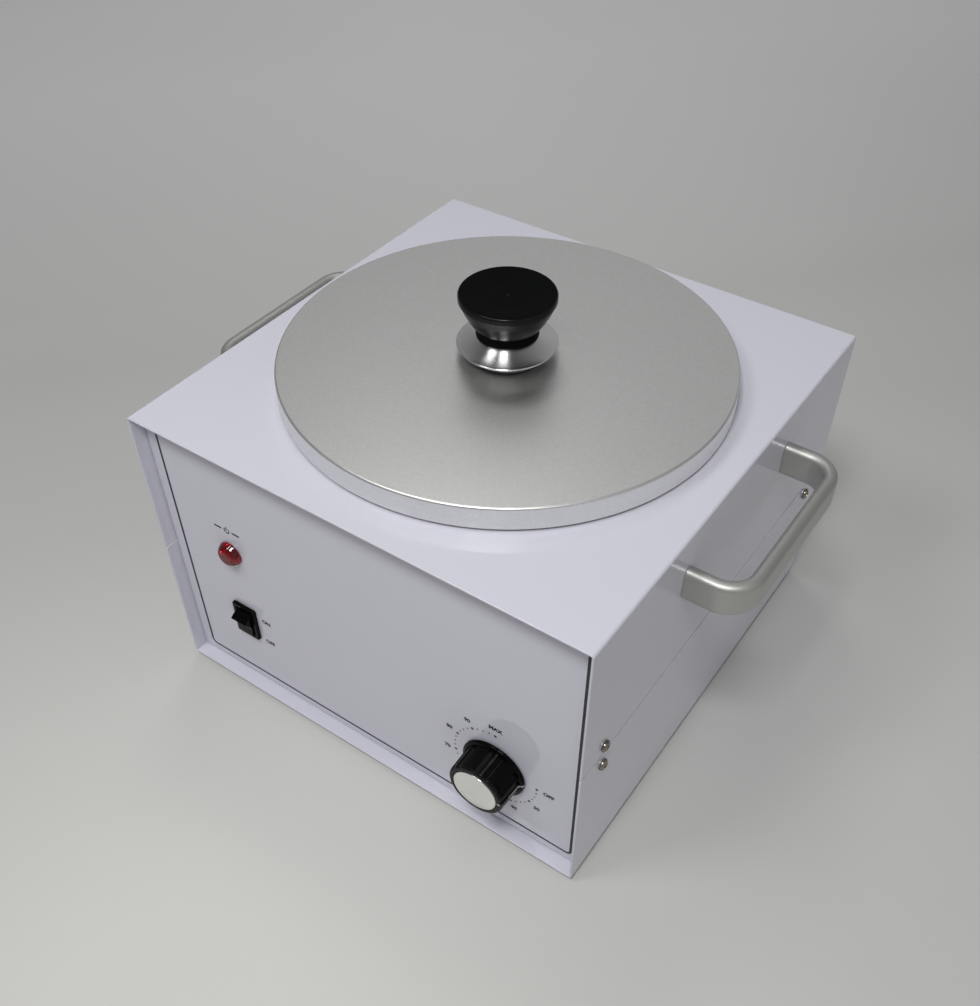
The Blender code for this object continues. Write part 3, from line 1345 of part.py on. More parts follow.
def make_leads():
    live_shares = (
        (0.46, 0.60, 0.12), (0.25, 0.34, 0.05), (-0.20, 0.05, 0.05),
        (-0.54, -0.38, 0.06), (-0.65, -0.60, 0.20),
    )
    add_lead("lead_live", "lead_brown", pin_end(-1), live_shares, rocker_end(1))
    switched_shares = ((-0.50, -0.62, 0.12), (-0.10, -0.66, 0.05), (0.34, -0.60, 0.08))
    add_lead("lead_switched", "lead_brown", rocker_end(-1), switched_shares, thermostat_end(-1))
    cutout_shares = ((0.62, -0.45, 0.12), (0.42, -0.05, 0.05), (0.12, 0.18, 0.07))
    add_lead("lead_to_cutout", "lead_brown", thermostat_end(1), cutout_shares, cutout_end(1))
    heater_shares = ((-0.12, 0.38, 0.09), (-0.34, 0.66, 0.13), (-0.24, 0.86, 0.30))
    add_lead("lead_heater_live", "lead_brown", cutout_end(-1), heater_shares, post_end(-1))
    neutral_shares = ((0.68, 0.66, 0.26), (0.53, 0.70, 0.345), (0.32, 0.815, 0.39), (0.18, 0.895, 0.42))
    add_lead("lead_heater_neutral", "lead_blue", pin_end(1), neutral_shares, post_end(1))
    lamp_shares = (
        (-0.78, -0.60, 0.48), (-0.88, -0.20, 0.24), (-0.84, 0.40, 0.07), (-0.40, 0.72, 0.05),
        (0.30, 0.74, 0.05), (0.71, 0.74, 0.10),
    )
    add_lead("lead_lamp_neutral", "lead_blue", lamp_end(-1), lamp_shares, pin_side_end())
    tap_shares = ((-0.58, -0.69, 0.50), (-0.54, -0.76, 0.34))
    add_lead("lead_lamp_live", "lead_brown", lamp_end(1), tap_shares, rocker_side_end())
    earth_shares = ((0.61, 0.60, 0.14), (0.68, 0.56, 0.08))
    add_lead("lead_earth", "lead_green", pin_end(0), earth_shares, earth_end())


def make_capillary():
    bulb = Vector((BULB_LENGTH / 2 + GAP, BULB_Y, WELL_BOTTOM - GAP - BULB_RADIUS))
    head = Vector((DIAL_X, thermostat_back() + GAP, BOTTOM + DIAL_HEIGHT + THERMOSTAT_HEIGHT / 4))
    run = head - bulb
    points = [bulb, bulb + RIGHTWARD * LEAD_TAIL]
    way_shares = ((0.50, 0.20, 1.0), (0.85, 0.50, 0.60))
    for x_share, y_share, sag_share in way_shares:
        points.append(bulb + Vector((run.x * x_share, run.y * y_share, -CAPILLARY_SAG * sag_share)))
    points += [head + BACKWARD * LEAD_TAIL, head]
    add_tube("thermostat_capillary", points, CAPILLARY_RADIUS, "copper")


def build():
    make_covers()
    make_front_panel()
    make_rear_panel()
    make_feet()
    make_well()
    make_pot()
    make_lid()
    make_escutcheon()
    make_lid_knob()
    make_lid_screw()
    make_handles()
    make_handle_screws()
    make_case_screws()
    make_heater()
    make_insulation()
    make_cutout()
    make_bulb()
    make_lamp()
    make_rocker()
    make_thermostat()
    make_inlet()
    make_earth()
    make_leads()
    make_capillary()


clear_scene()
MATERIALS = {name: material(name, *look) for name, look in COLOURS.items()}
AXIS = centre_empty()
build()
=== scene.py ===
import json
import math

import bmesh
import bpy
from mathutils import Matrix, Vector


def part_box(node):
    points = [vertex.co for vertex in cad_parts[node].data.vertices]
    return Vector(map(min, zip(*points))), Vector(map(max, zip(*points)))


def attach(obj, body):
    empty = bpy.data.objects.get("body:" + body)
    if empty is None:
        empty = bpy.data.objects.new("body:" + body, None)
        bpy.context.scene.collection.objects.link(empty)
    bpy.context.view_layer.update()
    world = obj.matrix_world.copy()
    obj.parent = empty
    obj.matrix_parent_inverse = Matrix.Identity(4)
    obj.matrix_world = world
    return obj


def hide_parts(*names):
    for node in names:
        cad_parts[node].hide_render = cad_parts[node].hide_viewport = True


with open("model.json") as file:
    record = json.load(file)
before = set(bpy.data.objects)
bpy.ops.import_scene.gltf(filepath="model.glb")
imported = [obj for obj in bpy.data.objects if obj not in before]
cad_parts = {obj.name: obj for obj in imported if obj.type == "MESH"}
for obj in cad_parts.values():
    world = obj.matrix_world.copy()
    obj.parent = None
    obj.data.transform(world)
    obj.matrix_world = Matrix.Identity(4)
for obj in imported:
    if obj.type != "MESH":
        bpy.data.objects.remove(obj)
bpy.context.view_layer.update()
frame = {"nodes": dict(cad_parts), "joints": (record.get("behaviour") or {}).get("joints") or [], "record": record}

# The looks of a countertop wax warmer: a square case of coated sheet steel, a satin lid with
# a black knob, two aluminium handles, and a front panel with a lamp, a switch and a dial.
# Metres, +Z up, the front faces -Y. Sizes that the frame gives are read from its nodes.

COVER_LOW, COVER_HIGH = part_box("upper_cover")
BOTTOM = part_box("lower_cover")[0].z
SEAM_EASE = 0.00015
SEAM_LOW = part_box("lower_cover")[1].z - SEAM_EASE
SEAM_HIGH = COVER_LOW.z + SEAM_EASE
TOP = COVER_HIGH.z
CASE_HALF = COVER_HIGH.x
CASE_Y = (COVER_LOW.y + COVER_HIGH.y) / 2
PANEL_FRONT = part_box("front_panel")[0].y
REAR_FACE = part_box("rear_panel")[1].y
AXIS = Vector((0, CASE_Y, 0))

# Sheet metal: its thickness, the outer radius of its bends, and the rounding of its cut edges
SHEET = 0.0010
BEND = 0.0015
LIP = 0.0004

# The well's flange, and how much wider than the well the hole in the case's top is
WELL_FLANGE = 0.0069
WELL_CLEARANCE = 0.0006

# A small clearance, how far a cutter runs past what it cuts, and the counts of facets
GAP = 0.0003
OVERRUN = 0.0020
FINE = 6
SMALL = 48
ROUND = 128

# Edges that turn by more than these angles are rounded by softened, or shaded sharp
ROUNDED_FROM_DEG = 60
SHARP_FROM_DEG = 40


def point_at(node):
    """The middle of a node's box."""
    low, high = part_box(node)
    return (low + high) / 2


def on_face(node):
    """The middle of a node's box, moved to the front panel's face."""
    middle = point_at(node)
    return Vector((middle.x, PANEL_FRONT, middle.z))


def arc(centre, radius, start, end, steps):
    """Points of an arc in a plane from one angle to another, both ends included."""
    turns = [start + (end - start) * step / steps for step in range(steps + 1)]
    u, v = centre
    return [Vector((u + radius * math.cos(t), v + radius * math.sin(t))) for t in turns]


def filleted(corners, closed=False, steps=FINE):
    """An outline through corners given as (u, v, radius), each rounded by its radius."""
    points = []
    last = len(corners) - 1
    for index, (u, v, radius) in enumerate(corners):
        here = Vector((u, v))
        if radius == 0 or (not closed and index in (0, last)):
            points.append(here)
            continue
        before = (Vector(corners[index - 1][:2]) - here).normalized()
        after = (Vector(corners[(index + 1) % len(corners)][:2]) - here).normalized()
        half = before.angle(after) / 2
        middle = here + (before + after).normalized() * radius / math.sin(half)
        reach = radius / math.tan(half)
        first = here + before * reach - middle
        second = here + after * reach - middle
        start = math.atan2(first.y, first.x)
        sweep = math.remainder(math.atan2(second.y, second.x) - start, math.tau)
        points += arc(middle, radius, start, start + sweep, steps)
    return points


def rounded_rectangle(half_width, half_height, radius, steps=FINE):
    corners = ((-1, -1), (1, -1), (1, 1), (-1, 1))
    corners = [(half_width * u, half_height * v, radius) for u, v in corners]
    return filleted(corners, closed=True, steps=steps)


def bridged(bm, rings, looped=False, capped=False):
    """Faces from each ring of corners to the next, and from the last to the first or over both."""
    pairs = list(zip(rings, rings[1:]))
    if looped:
        pairs.append((rings[-1], rings[0]))
    for near, far in pairs:
        for index in range(len(near)):
            after = (index + 1) % len(near)
            corners = list(dict.fromkeys([near[index], near[after], far[after], far[index]]))
            if len(corners) > 2:
                bm.faces.new(corners)
    if capped:
        bm.faces.new(rings[0])
        bm.faces.new(rings[-1])
    return bm


def turned(profile, sides=ROUND, closed=False):
    """A profile of (radius, height) points turned about Z; closed for a ring."""
    bm = bmesh.new()
    turns = [math.tau * side / sides for side in range(sides)]
    rings = []
    for radius, height in profile:
        if radius == 0:
            rings.append([bm.verts.new((0, 0, height))] * sides)
        else:
            around = [(radius * math.cos(t), radius * math.sin(t), height) for t in turns]
            rings.append([bm.verts.new(corner) for corner in around])
    return bridged(bm, rings, looped=closed)


def prism(outline, low, high, place):
    """An outline of (u, v) points pushed from low to high; place(u, v, w) sets each point."""
    bm = bmesh.new()
    rings = [[bm.verts.new(place(u, v, level)) for u, v in outline] for level in (low, high)]
    return bridged(bm, rings, capped=True)


def upright(x, z):
    """A place function for a prism along Y whose outline is measured from (x, z)."""
    return lambda u, v, w: (x + u, w, z + v)


def swept(path, section):
    """A section swept along a flat path, square to it at each point."""
    bm = bmesh.new()
    rings = []
    for index, point in enumerate(path):
        before = path[max(index - 1, 0)]
        after = path[min(index + 1, len(path) - 1)]
        ahead = (after - before).normalized()
        side = Vector((ahead.y, -ahead.x, 0))
        middle = Vector((point.x, point.y, 0))
        rings.append([bm.verts.new(middle + side * u + Vector((0, 0, v))) for u, v in section])
    return bridged(bm, rings, capped=True)


def box(low, high):
    bm = bmesh.new()
    size, middle = Vector(high) - Vector(low), (Vector(high) + Vector(low)) / 2
    matrix = Matrix.Translation(middle) @ Matrix.Diagonal((*size, 1))
    bmesh.ops.create_cube(bm, size=1, matrix=matrix)
    return bm


def rod(start, end, radius, sides=SMALL):
    bm = bmesh.new()
    way = Vector(end) - Vector(start)
    turn = way.to_track_quat("Z", "Y").to_matrix().to_4x4()
    matrix = Matrix.Translation((Vector(start) + Vector(end)) / 2) @ turn
    bmesh.ops.create_cone(bm, cap_ends=True, segments=sides, radius1=radius, radius2=radius,
                          depth=way.length, matrix=matrix)
    return bm


def joined(shapes):
    """Several bmeshes as one, each still a body of its own."""
    whole = bmesh.new()
    for bm in shapes:
        mesh = bpy.data.meshes.new("part")
        bm.to_mesh(mesh)
        bm.free()
        whole.from_mesh(mesh)
        bpy.data.meshes.remove(mesh)
    return whole


def moved(bm, matrix):
    bmesh.ops.transform(bm, matrix=matrix, verts=bm.verts)
    return bm


def aimed(place, direction):
    """A matrix that takes +Z to a direction at a place."""
    return Matrix.Translation(place) @ Vector(direction).to_track_quat("Z", "Y").to_matrix().to_4x4()


def loose(name, bm):
    bmesh.ops.recalc_face_normals(bm, faces=bm.faces)
    mesh = bpy.data.meshes.new(name)
    bm.to_mesh(mesh)
    bm.free()
    item = bpy.data.objects.new(name, mesh)
    bpy.context.scene.collection.objects.link(item)
    return item


def carved(bm, tool, operation="DIFFERENCE"):
    """What a closed bmesh becomes once another is taken out of it, or joined to it."""
    solid, cutter = loose("solid", bm), loose("cutter", tool)
    boolean = solid.modifiers.new("carve", "BOOLEAN")
    boolean.object = cutter
    boolean.operation = operation
    boolean.solver = "EXACT"
    result = bmesh.new()
    result.from_object(solid, bpy.context.evaluated_depsgraph_get())
    for item in (solid, cutter):
        mesh = item.data
        bpy.data.objects.remove(item)
        bpy.data.meshes.remove(mesh)
    return result


def softened(bm, width, segments=3, where=None):
    """Rounds the sharp edges, or those of them whose two ends are where a test says."""
    bmesh.ops.recalc_face_normals(bm, faces=bm.faces)
    limit = math.radians(ROUNDED_FROM_DEG)
    edges = [edge for edge in bm.edges if edge.is_manifold and edge.calc_face_angle() > limit]
    if where:
        edges = [edge for edge in edges if where(edge.verts[0].co) and where(edge.verts[1].co)]
    bmesh.ops.bevel(bm, geom=edges, offset=width, segments=segments, profile=0.5, affect="EDGES")
    return bm


def finished(name, bm, body, node, slot, look=None):
    """One piece of the object from a bmesh, shaded smooth, on its body. It stands for a node,
    or for none, and has the look of its slot's name unless it is given another's."""
    piece = loose(name, bm)
    piece.data.shade_smooth()
    piece.data.set_sharp_from_angle(angle=math.radians(SHARP_FROM_DEG))
    piece.data.materials.append(LOOKS[look or slot])
    even = piece.modifiers.new("even_normals", "WEIGHTED_NORMAL")
    even.keep_sharp = True
    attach(piece, body)
    if node:
        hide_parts(node)
    return piece


def second_look(piece, look, where):
    """Gives another look to the faces that pass a test."""
    piece.data.materials.append(LOOKS[look])
    for face in piece.data.polygons:
        if where(face):
            face.material_index = 1


# Materials

# The materials by the names of their looks; most pieces have the look of their slot's name
LOOKS = {}


class Nodes:
    """A node tree, and short calls for the nodes that the looks, the floor and the room use."""

    def __init__(self, tree, coordinates):
        self.tree = tree
        self.place = self.node("ShaderNodeTexCoord").outputs[coordinates]

    def node(self, kind, *inputs, **settings):
        made = self.tree.nodes.new(kind)
        for setting, value in settings.items():
            setattr(made, setting, value)
        for socket, given in inputs:
            self.feed(made.inputs[socket], given)
        return made

    def feed(self, socket, given):
        if isinstance(given, bpy.types.NodeSocket):
            self.tree.links.new(given, socket)
        else:
            socket.default_value = given

    def vectors(self, operation, first, second=(0, 0, 0)):
        return self.node("ShaderNodeVectorMath", (0, first), (1, second), operation=operation)

    def stretched(self, scale, about=(0, 0, 0)):
        """The coordinates, from a point, stretched by a scale along each axis."""
        shifted = self.vectors("SUBTRACT", self.place, about).outputs[0]
        return self.vectors("MULTIPLY", shifted, scale).outputs[0]

    def distance(self, scale, about):
        """How far a place is from a point, with a scale along each axis."""
        return self.vectors("LENGTH", self.stretched(scale, about)).outputs["Value"]

    def along(self, direction):
        """How far a place is along a direction."""
        return self.vectors("DOT_PRODUCT", self.place, direction).outputs["Value"]

    def noise(self, scale, detail=2.0, rough=0.5, place=None):
        made = self.node("ShaderNodeTexNoise", ("Vector", place or self.place), ("Scale", scale),
                         ("Detail", detail), ("Roughness", rough))
        return made.outputs["Fac"]

    def maths(self, operation, first, second=0.0):
        return self.node("ShaderNodeMath", (0, first), (1, second), operation=operation).outputs[0]

    def ramp(self, factor, low, high, start=0.3, end=0.7):
        """A value from low to high as a factor goes from start to end."""
        made = self.node("ShaderNodeMapRange", ("Value", factor), ("From Min", start),
                         ("From Max", end), ("To Min", low), ("To Max", high))
        return made.outputs["Result"]

    def blend(self, factor, low, high):
        first, second = ((*tone, 1) if isinstance(tone, tuple) else tone for tone in (low, high))
        # Sockets 6 and 7 take the two colours
        made = self.node("ShaderNodeMix", (0, factor), (6, first), (7, second), data_type="RGBA")
        return made.outputs[2]


class Look(Nodes):
    """A Principled material whose colour, roughness and height are fed by noise that is read
    in the object's own coordinates."""

    def __init__(self, name, **sockets):
        LOOKS[name] = bpy.data.materials.new(name)
        LOOKS[name].use_nodes = True
        super().__init__(LOOKS[name].node_tree, "Object")
        self.shader = self.tree.nodes["Principled BSDF"]
        for socket, value in sockets.items():
            self.shader.inputs[socket.replace("_", " ")].default_value = value

    def colour(self, factor, low, high):
        """Base colour from low to high by a factor."""
        self.feed(self.shader.inputs["Base Color"], self.blend(factor, low, high))

    def roughness(self, factor, low, high):
        self.feed(self.shader.inputs["Roughness"], self.ramp(factor, low, high))

    def bump(self, height, distance):
        made = self.node("ShaderNodeBump", ("Height", height), ("Distance", distance),
                         ("Strength", 1.0))
        before = self.shader.inputs["Normal"]
        if before.is_linked:
            self.tree.links.new(before.links[0].from_socket, made.inputs["Normal"])
        self.tree.links.new(made.outputs["Normal"], before)


def shade(colour, share):
    """A colour made lighter or darker by a share."""
    return tuple(channel * share for channel in colour)


def handle_aluminium():
    """Extruded bar, anodised satin, with faint lines along its run."""
    look = Look("handle_aluminium", Metallic=1.0)
    lines = look.noise(1, 4, 0.6, look.stretched((90, 14, 2400)))
    tone = (0.535, 0.535, 0.51)
    look.colour(look.ramp(lines, 0.0, 1.0), shade(tone, 0.96), shade(tone, 1.04))
    look.roughness(lines, 0.48, 0.54)
    look.bump(look.noise(1500, 2, 0.5), 0.000006)


def spun_metal(name, centre, axis, tone, low, high, brushed=0.7, drift=0.06, depth=0.000008):
    """Turned metal, with fine rings about an axis of the object through a centre."""
    look = Look(name, Metallic=1.0, Anisotropic=brushed, Anisotropic_Rotation=0.25)
    flat = tuple(0.0 if index == axis else 1.0 for index in range(3))
    radius = look.node("ShaderNodeCombineXYZ", ("X", look.distance(flat, centre))).outputs[0]
    rings = look.noise(5200, 3, 0.7, radius)
    look.colour(look.ramp(rings, 0.0, 1.0), shade(tone, 1 - drift), shade(tone, 1 + drift))
    look.roughness(rings, low, high)
    look.bump(rings, depth)
    tangent = look.node("ShaderNodeTangent", direction_type="RADIAL", axis="XYZ"[axis])
    look.feed(look.shader.inputs["Tangent"], tangent.outputs[0])


def mixed(name, low, high, tone, rough, *bumps, spread=(0, 1), **sockets):
    """A look of noises, each as (scale, detail) or (scale, detail, roughness): one for the tone,
    one for the roughness with its low and high, and one for each bump with its height. The
    tone goes from low to high over the noise's range given by spread."""
    look = Look(name, **sockets)
    look.colour(look.ramp(look.noise(*tone), 0.0, 1.0, *spread), low, high)
    look.roughness(look.noise(*rough[:-2]), *rough[-2:])
    for bump in bumps:
        look.bump(look.noise(*bump[:-1]), bump[-1])


# The range of a noise that spreads a tone wide
WIDE = (0.3, 0.7)


def ink(name, tone):
    """Screen-printed ink, a little uneven in its coverage."""
    mixed(name, shade(tone, 0.8), shade(tone, 1.25), (900, 3), (1200, 2, 0.35, 0.50),
          (2600, 2, 0.000006), IOR=1.45)


def matt(name, low, high, grain, roughness=0.8, depth=0.00004):
    """A plain dull material: rubber, fired clay, or glass fibre."""
    mixed(name, low, high, (grain, 4), (grain * 2, 3, roughness - 0.08, roughness + 0.08),
          (grain, 4, depth), spread=WIDE, IOR=1.45)


def metal(name, low, high, grain, roughness=0.3):
    """A plain sheet or bar of metal, as it comes from the mill."""
    mixed(name, low, high, (grain, 3), (grain * 3, 3, roughness - 0.06, roughness + 0.08),
          (grain * 4, 2, 0.000010), spread=WIDE, Metallic=1.0)


DIAL = on_face("thermostat_knob")
LAMP = on_face("lamp_lens")
ROCKER = on_face("rocker_housing")

# Glossy powder coat: a faint orange peel, and hardly any drift of its tone
COAT = (0.665, 0.662, 0.745)
mixed("white_coat", shade(COAT, 0.985), shade(COAT, 1.015), (9, 2), (60, 3, 0.05, 0.07),
      (420, 2, 0.4, 0.000003), (110, 2, 0.4, 0.000008), IOR=1.5)
# Bead-blasted and anodised sheet, with a fine sparkling grain
LID_TONE = (0.795, 0.795, 0.78)
mixed("lid_aluminium", shade(LID_TONE, 0.92), shade(LID_TONE, 1.08), (1100, 3, 0.7),
      (900, 3, 0.7, 0.35, 0.43), (1100, 3, 0.7, 0.000008), (2600, 3, 0.6, 0.000005),
      spread=(0.25, 0.75), Metallic=1.0)
handle_aluminium()
spun_metal("aluminium", AXIS, 2, (0.66, 0.66, 0.65), 0.24, 0.36)
spun_metal("bright_steel", AXIS, 2, (0.74, 0.735, 0.73), 0.25, 0.27,
           brushed=0.9, drift=0.01, depth=0.0000003)
spun_metal("dial_disc", DIAL, 1, (0.88, 0.88, 0.86), 0.24, 0.34)
mixed("zinc", (0.50, 0.51, 0.52), (0.62, 0.62, 0.60), (160, 3), (500, 3, 0.28, 0.42),
      (900, 2, 0.000010), spread=WIDE, Metallic=1.0)
# Zinc with a warm passivated tint
mixed("plated_screw", (0.20, 0.175, 0.135), (0.38, 0.34, 0.28), (420, 3), (900, 3, 0.20, 0.34),
      (1400, 2, 0.000012), spread=WIDE, Metallic=1.0)
mixed("gloss_black", (0.0016, 0.0018, 0.0016), (0.0028, 0.0030, 0.0028), (40, 2),
      (300, 3, 0.10, 0.16), (900, 2, 0.000005), IOR=1.5, Specular_IOR_Level=0.08)
mixed("satin_black", (0.0016, 0.0022, 0.0016), (0.0028, 0.0035, 0.0028), (60, 2),
      (700, 3, 0.50, 0.60), (2400, 2, 0.000014), IOR=1.5, Specular_IOR_Level=0.03)
# The polished cone of the lid's knob, and the rim of the dial
mixed("knob_side", (0.0040, 0.0044, 0.0040), (0.0060, 0.0064, 0.0060), (60, 2),
      (90, 2, 0.21, 0.25), (300, 2, 0.000004), IOR=1.5, Specular_IOR_Level=0.16)
mixed("black_moulding", (0.016, 0.016, 0.017), (0.026, 0.026, 0.027), (50, 2),
      (600, 3, 0.38, 0.50), (2000, 2, 0.000015), IOR=1.48)
mixed("red_lens", (0.38, 0.008, 0.013), (0.48, 0.012, 0.020), (300, 2), (500, 2, 0.03, 0.07),
      (260, 2, 0.000020), IOR=1.49, Transmission_Weight=0.85)
matt("rubber", (0.022, 0.022, 0.022), (0.040, 0.040, 0.039), 800)
matt("ceramic", (0.66, 0.62, 0.54), (0.78, 0.75, 0.68), 500, 0.5)
matt("glass_wool", (0.62, 0.57, 0.40), (0.84, 0.80, 0.66), 900, 0.9, 0.0004)
matt("lead_brown", (0.13, 0.055, 0.024), (0.19, 0.085, 0.036), 600, 0.5, 0.00001)
matt("lead_blue", (0.024, 0.075, 0.30), (0.036, 0.11, 0.40), 600, 0.5, 0.00001)
matt("lead_green", (0.08, 0.30, 0.04), (0.12, 0.40, 0.06), 600, 0.5, 0.00001)
# A darker steel for the escutcheon's underside and foot: painted shade, where the dish hides them from the lamps
metal("escutcheon_painted_shade", (0.18, 0.18, 0.18), (0.24, 0.24, 0.24), 120, 0.5)
metal("heater_steel", (0.34, 0.31, 0.27), (0.50, 0.47, 0.43), 120, 0.45)
metal("copper", (0.52, 0.25, 0.15), (0.70, 0.38, 0.26), 200)
metal("brass", (0.58, 0.43, 0.17), (0.72, 0.57, 0.28), 200)
ink("black_ink", (0.012, 0.012, 0.016))
ink("white_ink", (0.44, 0.44, 0.43))


# The case

def channel(sheet_end, plate, direction):
    """Half of the case's sleeve: a plate with two bent sides that end at the seam."""
    inner = CASE_HALF - SHEET
    under = plate - direction * SHEET
    outline = filleted([
        (-CASE_HALF, sheet_end, 0), (-CASE_HALF, plate, BEND), (CASE_HALF, plate, BEND),
        (CASE_HALF, sheet_end, 0), (inner, sheet_end, 0), (inner, under, BEND - SHEET),
        (-inner, under, BEND - SHEET), (-inner, sheet_end, 0),
    ], closed=True)
    low, high = COVER_LOW.y, COVER_HIGH.y
    return softened(prism(outline, low, high, lambda u, v, w: (u, w, v)), LIP)


def make_covers():
    well_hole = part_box("heating_well")[1].x - WELL_FLANGE + WELL_CLEARANCE
    under, over = Vector((0, 0, TOP - 2 * SHEET)), Vector((0, 0, TOP + SHEET))
    upper = carved(channel(SEAM_HIGH, TOP, 1), rod(AXIS + under, AXIS + over, well_hole, ROUND))
    finished("upper_cover_sheet", upper, "root", "upper_cover", "white_coat")
    finished("lower_cover_sheet", channel(SEAM_LOW, BOTTOM, -1), "root", "lower_cover", "white_coat")


def panel_tray(node, front, back):
    """An end panel: a plate with rounded edges whose flanges turn in by its box's depth."""
    low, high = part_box(node)
    middle = point_at(node)
    half_width, half_height = (high.x - low.x) / 2, (high.z - low.z) / 2
    way = 1 if back > front else -1
    place = upright(middle.x, middle.z)
    outer = prism(rounded_rectangle(half_width, half_height, BEND), front, back, place)
    outer = softened(outer, SHEET, FINE, lambda co: abs(co.y - front) < GAP)
    inner = prism(rounded_rectangle(half_width - SHEET, half_height - SHEET, BEND - SHEET),
                  front + way * SHEET, back + way * OVERRUN, place)
    return carved(outer, inner)


SWITCH_WINDOW = (0.0067, 0.0099)
LAMP_HOLE = 0.0051
SHAFT_HOLE = 0.0045


def make_front_panel():
    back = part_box("front_panel")[1].y
    tray = panel_tray("front_panel", PANEL_FRONT, back)
    near, far = Vector((0, -OVERRUN, 0)), Vector((0, 2 * SHEET, 0))
    half = Vector((SWITCH_WINDOW[0], 0, SWITCH_WINDOW[1]))
    panel = carved(tray, joined([
        rod(LAMP + near, LAMP + far, LAMP_HOLE),
        rod(DIAL + near, DIAL + far, SHAFT_HOLE),
        box(ROCKER + near - half, ROCKER + far + half),
    ]))
    finished("front_panel_sheet", panel, "root", "front_panel", "white_coat")


INLET_WINDOW = (0.01405, 0.01005)
VENT_COUNT = 11
VENT_PITCH = 0.0090
VENT_WIDTH = 0.0026
VENT_ROUNDING = 0.98
VENT_LENGTH = 0.0260
VENT_DROP = 0.0405


def make_rear_panel():
    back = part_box("rear_panel")[0].y
    tray = panel_tray("rear_panel", REAR_FACE, back)
    near, far = REAR_FACE - 2 * SHEET, REAR_FACE + OVERRUN
    inlet = point_at("inlet_body")
    shapes = [box((inlet.x - INLET_WINDOW[0], near, inlet.z - INLET_WINDOW[1]),
                  (inlet.x + INLET_WINDOW[0], far, inlet.z + INLET_WINDOW[1]))]
    vent = rounded_rectangle(VENT_WIDTH / 2, VENT_LENGTH / 2, VENT_WIDTH / 2 * VENT_ROUNDING)
    for index in range(VENT_COUNT):
        x = (index - (VENT_COUNT - 1) / 2) * VENT_PITCH
        shapes.append(prism(vent, near, far, upright(x, TOP - VENT_DROP)))
    finished("rear_panel_sheet", carved(tray, joined(shapes)), "root", "rear_panel", "white_coat")


FOOT_BASE_SHARE = 0.94
FOOT_EDGE = 0.0005
FOOT_TOP_EDGE = 0.0004


def make_feet():
    for end in ("front", "rear"):
        for side in ("left", "right"):
            node = "foot_" + end + "_" + side
            low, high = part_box(node)
            radius, height = (high.x - low.x) / 2, high.z - low.z
            profile = filleted([
                (0, 0, 0), (radius * FOOT_BASE_SHARE, 0, FOOT_EDGE), (radius, height, FOOT_TOP_EDGE),
                (0, height, 0),
            ])
            middle = point_at(node)
            foot = moved(turned(profile, SMALL), Matrix.Translation((middle.x, middle.y, low.z)))
            finished(node + "_pad", foot, "root", node, "rubber")


# Well, pot and lid

CUP_WALL = 0.0012
CUP_EDGE = CUP_WALL / 3
CUP_CORNER = 0.0080


def on_axis(bm, height=0):
    return moved(bm, Matrix.Translation(AXIS + Vector((0, 0, height))))


def cup(radius, low, high, rim):
    """A drawn cup on the axis: its floor, a rounded corner and its wall, then a rim's corners."""
    inner = radius - CUP_WALL
    outside = [(0, low, 0), (radius, low, CUP_CORNER)]
    floor = low + CUP_WALL
    inside = [(inner, high, CUP_WALL / 2), (inner, floor, CUP_CORNER - CUP_WALL), (0, floor, 0)]
    return on_axis(turned(filleted(outside + rim + inside)))


def make_well():
    low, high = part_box("heating_well")
    edge = high.x
    radius = edge - WELL_FLANGE
    rim = [
        (radius, high.z - CUP_WALL, CUP_EDGE),
        (edge, high.z - CUP_WALL, CUP_EDGE),
        (edge, high.z, CUP_EDGE),
    ]
    well = cup(radius, low.z, high.z, rim)
    finished("heating_well_cup", well, "root", "heating_well", "aluminium")


POT_RIM = 0.0068
POT_BEAD = 0.0016
POT_CURL_DEG = 150


def make_pot():
    """A drawn pot that hangs in the well by its rim, whose edge is rolled to a bead."""
    low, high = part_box("wax_pot")
    edge = high.x
    radius = edge - POT_RIM
    rest = high.z - 2 * POT_BEAD
    middle, end = (edge - POT_BEAD, rest + POT_BEAD), math.radians(POT_CURL_DEG)
    rim = [(radius, rest, CUP_EDGE)]
    rim += [(*point, 0) for point in arc(middle, POT_BEAD, -math.pi / 2, end, 3 * FINE)]
    rim.append((edge - 2 * POT_BEAD, rest + CUP_WALL, 0))
    pot = cup(radius, low.z, rest + CUP_WALL, rim)
    finished("wax_pot_cup", pot, "pot", "wax_pot", "aluminium")


LID_SHEET = 0.0012
LID_EDGE = 0.0011
LID_HEM = LID_SHEET / 2.5
LID_HOLE = 0.0029
LID_HOLE_EDGE = 0.0002
LID_SIDES = 192
LID_LIFT = 0.0009


def make_lid():
    """A flat disc with a turned-down skirt, whose edge stands a little off the case."""
    low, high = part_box("lid")
    radius = high.x
    inner = radius - LID_SHEET
    under = high.z - LID_SHEET
    skirt = low.z + LID_LIFT
    profile = filleted([
        (LID_HOLE, high.z, LID_HOLE_EDGE), (radius, high.z, LID_EDGE), (radius, skirt, LID_HEM),
        (inner, skirt, LID_HEM), (inner, under, LID_EDGE - LID_SHEET / 2),
        (LID_HOLE, under, LID_HOLE_EDGE),
    ], closed=True)
    lid = on_axis(turned(profile, LID_SIDES, closed=True))
    finished("lid_disc", lid, "lid_assembly", "lid", "aluminium", "lid_aluminium")


LID_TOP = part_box("lid")[1].z
ESCUTCHEON_SHEET = 0.0010
ESCUTCHEON_SEAT = 0.0151
ESCUTCHEON_RIM_HEIGHT = 0.0065
ESCUTCHEON_FOOT = 0.0165
ESCUTCHEON_CURVE = 1.3
ESCUTCHEON_STEPS = 16
FACING_DOWN = -0.5


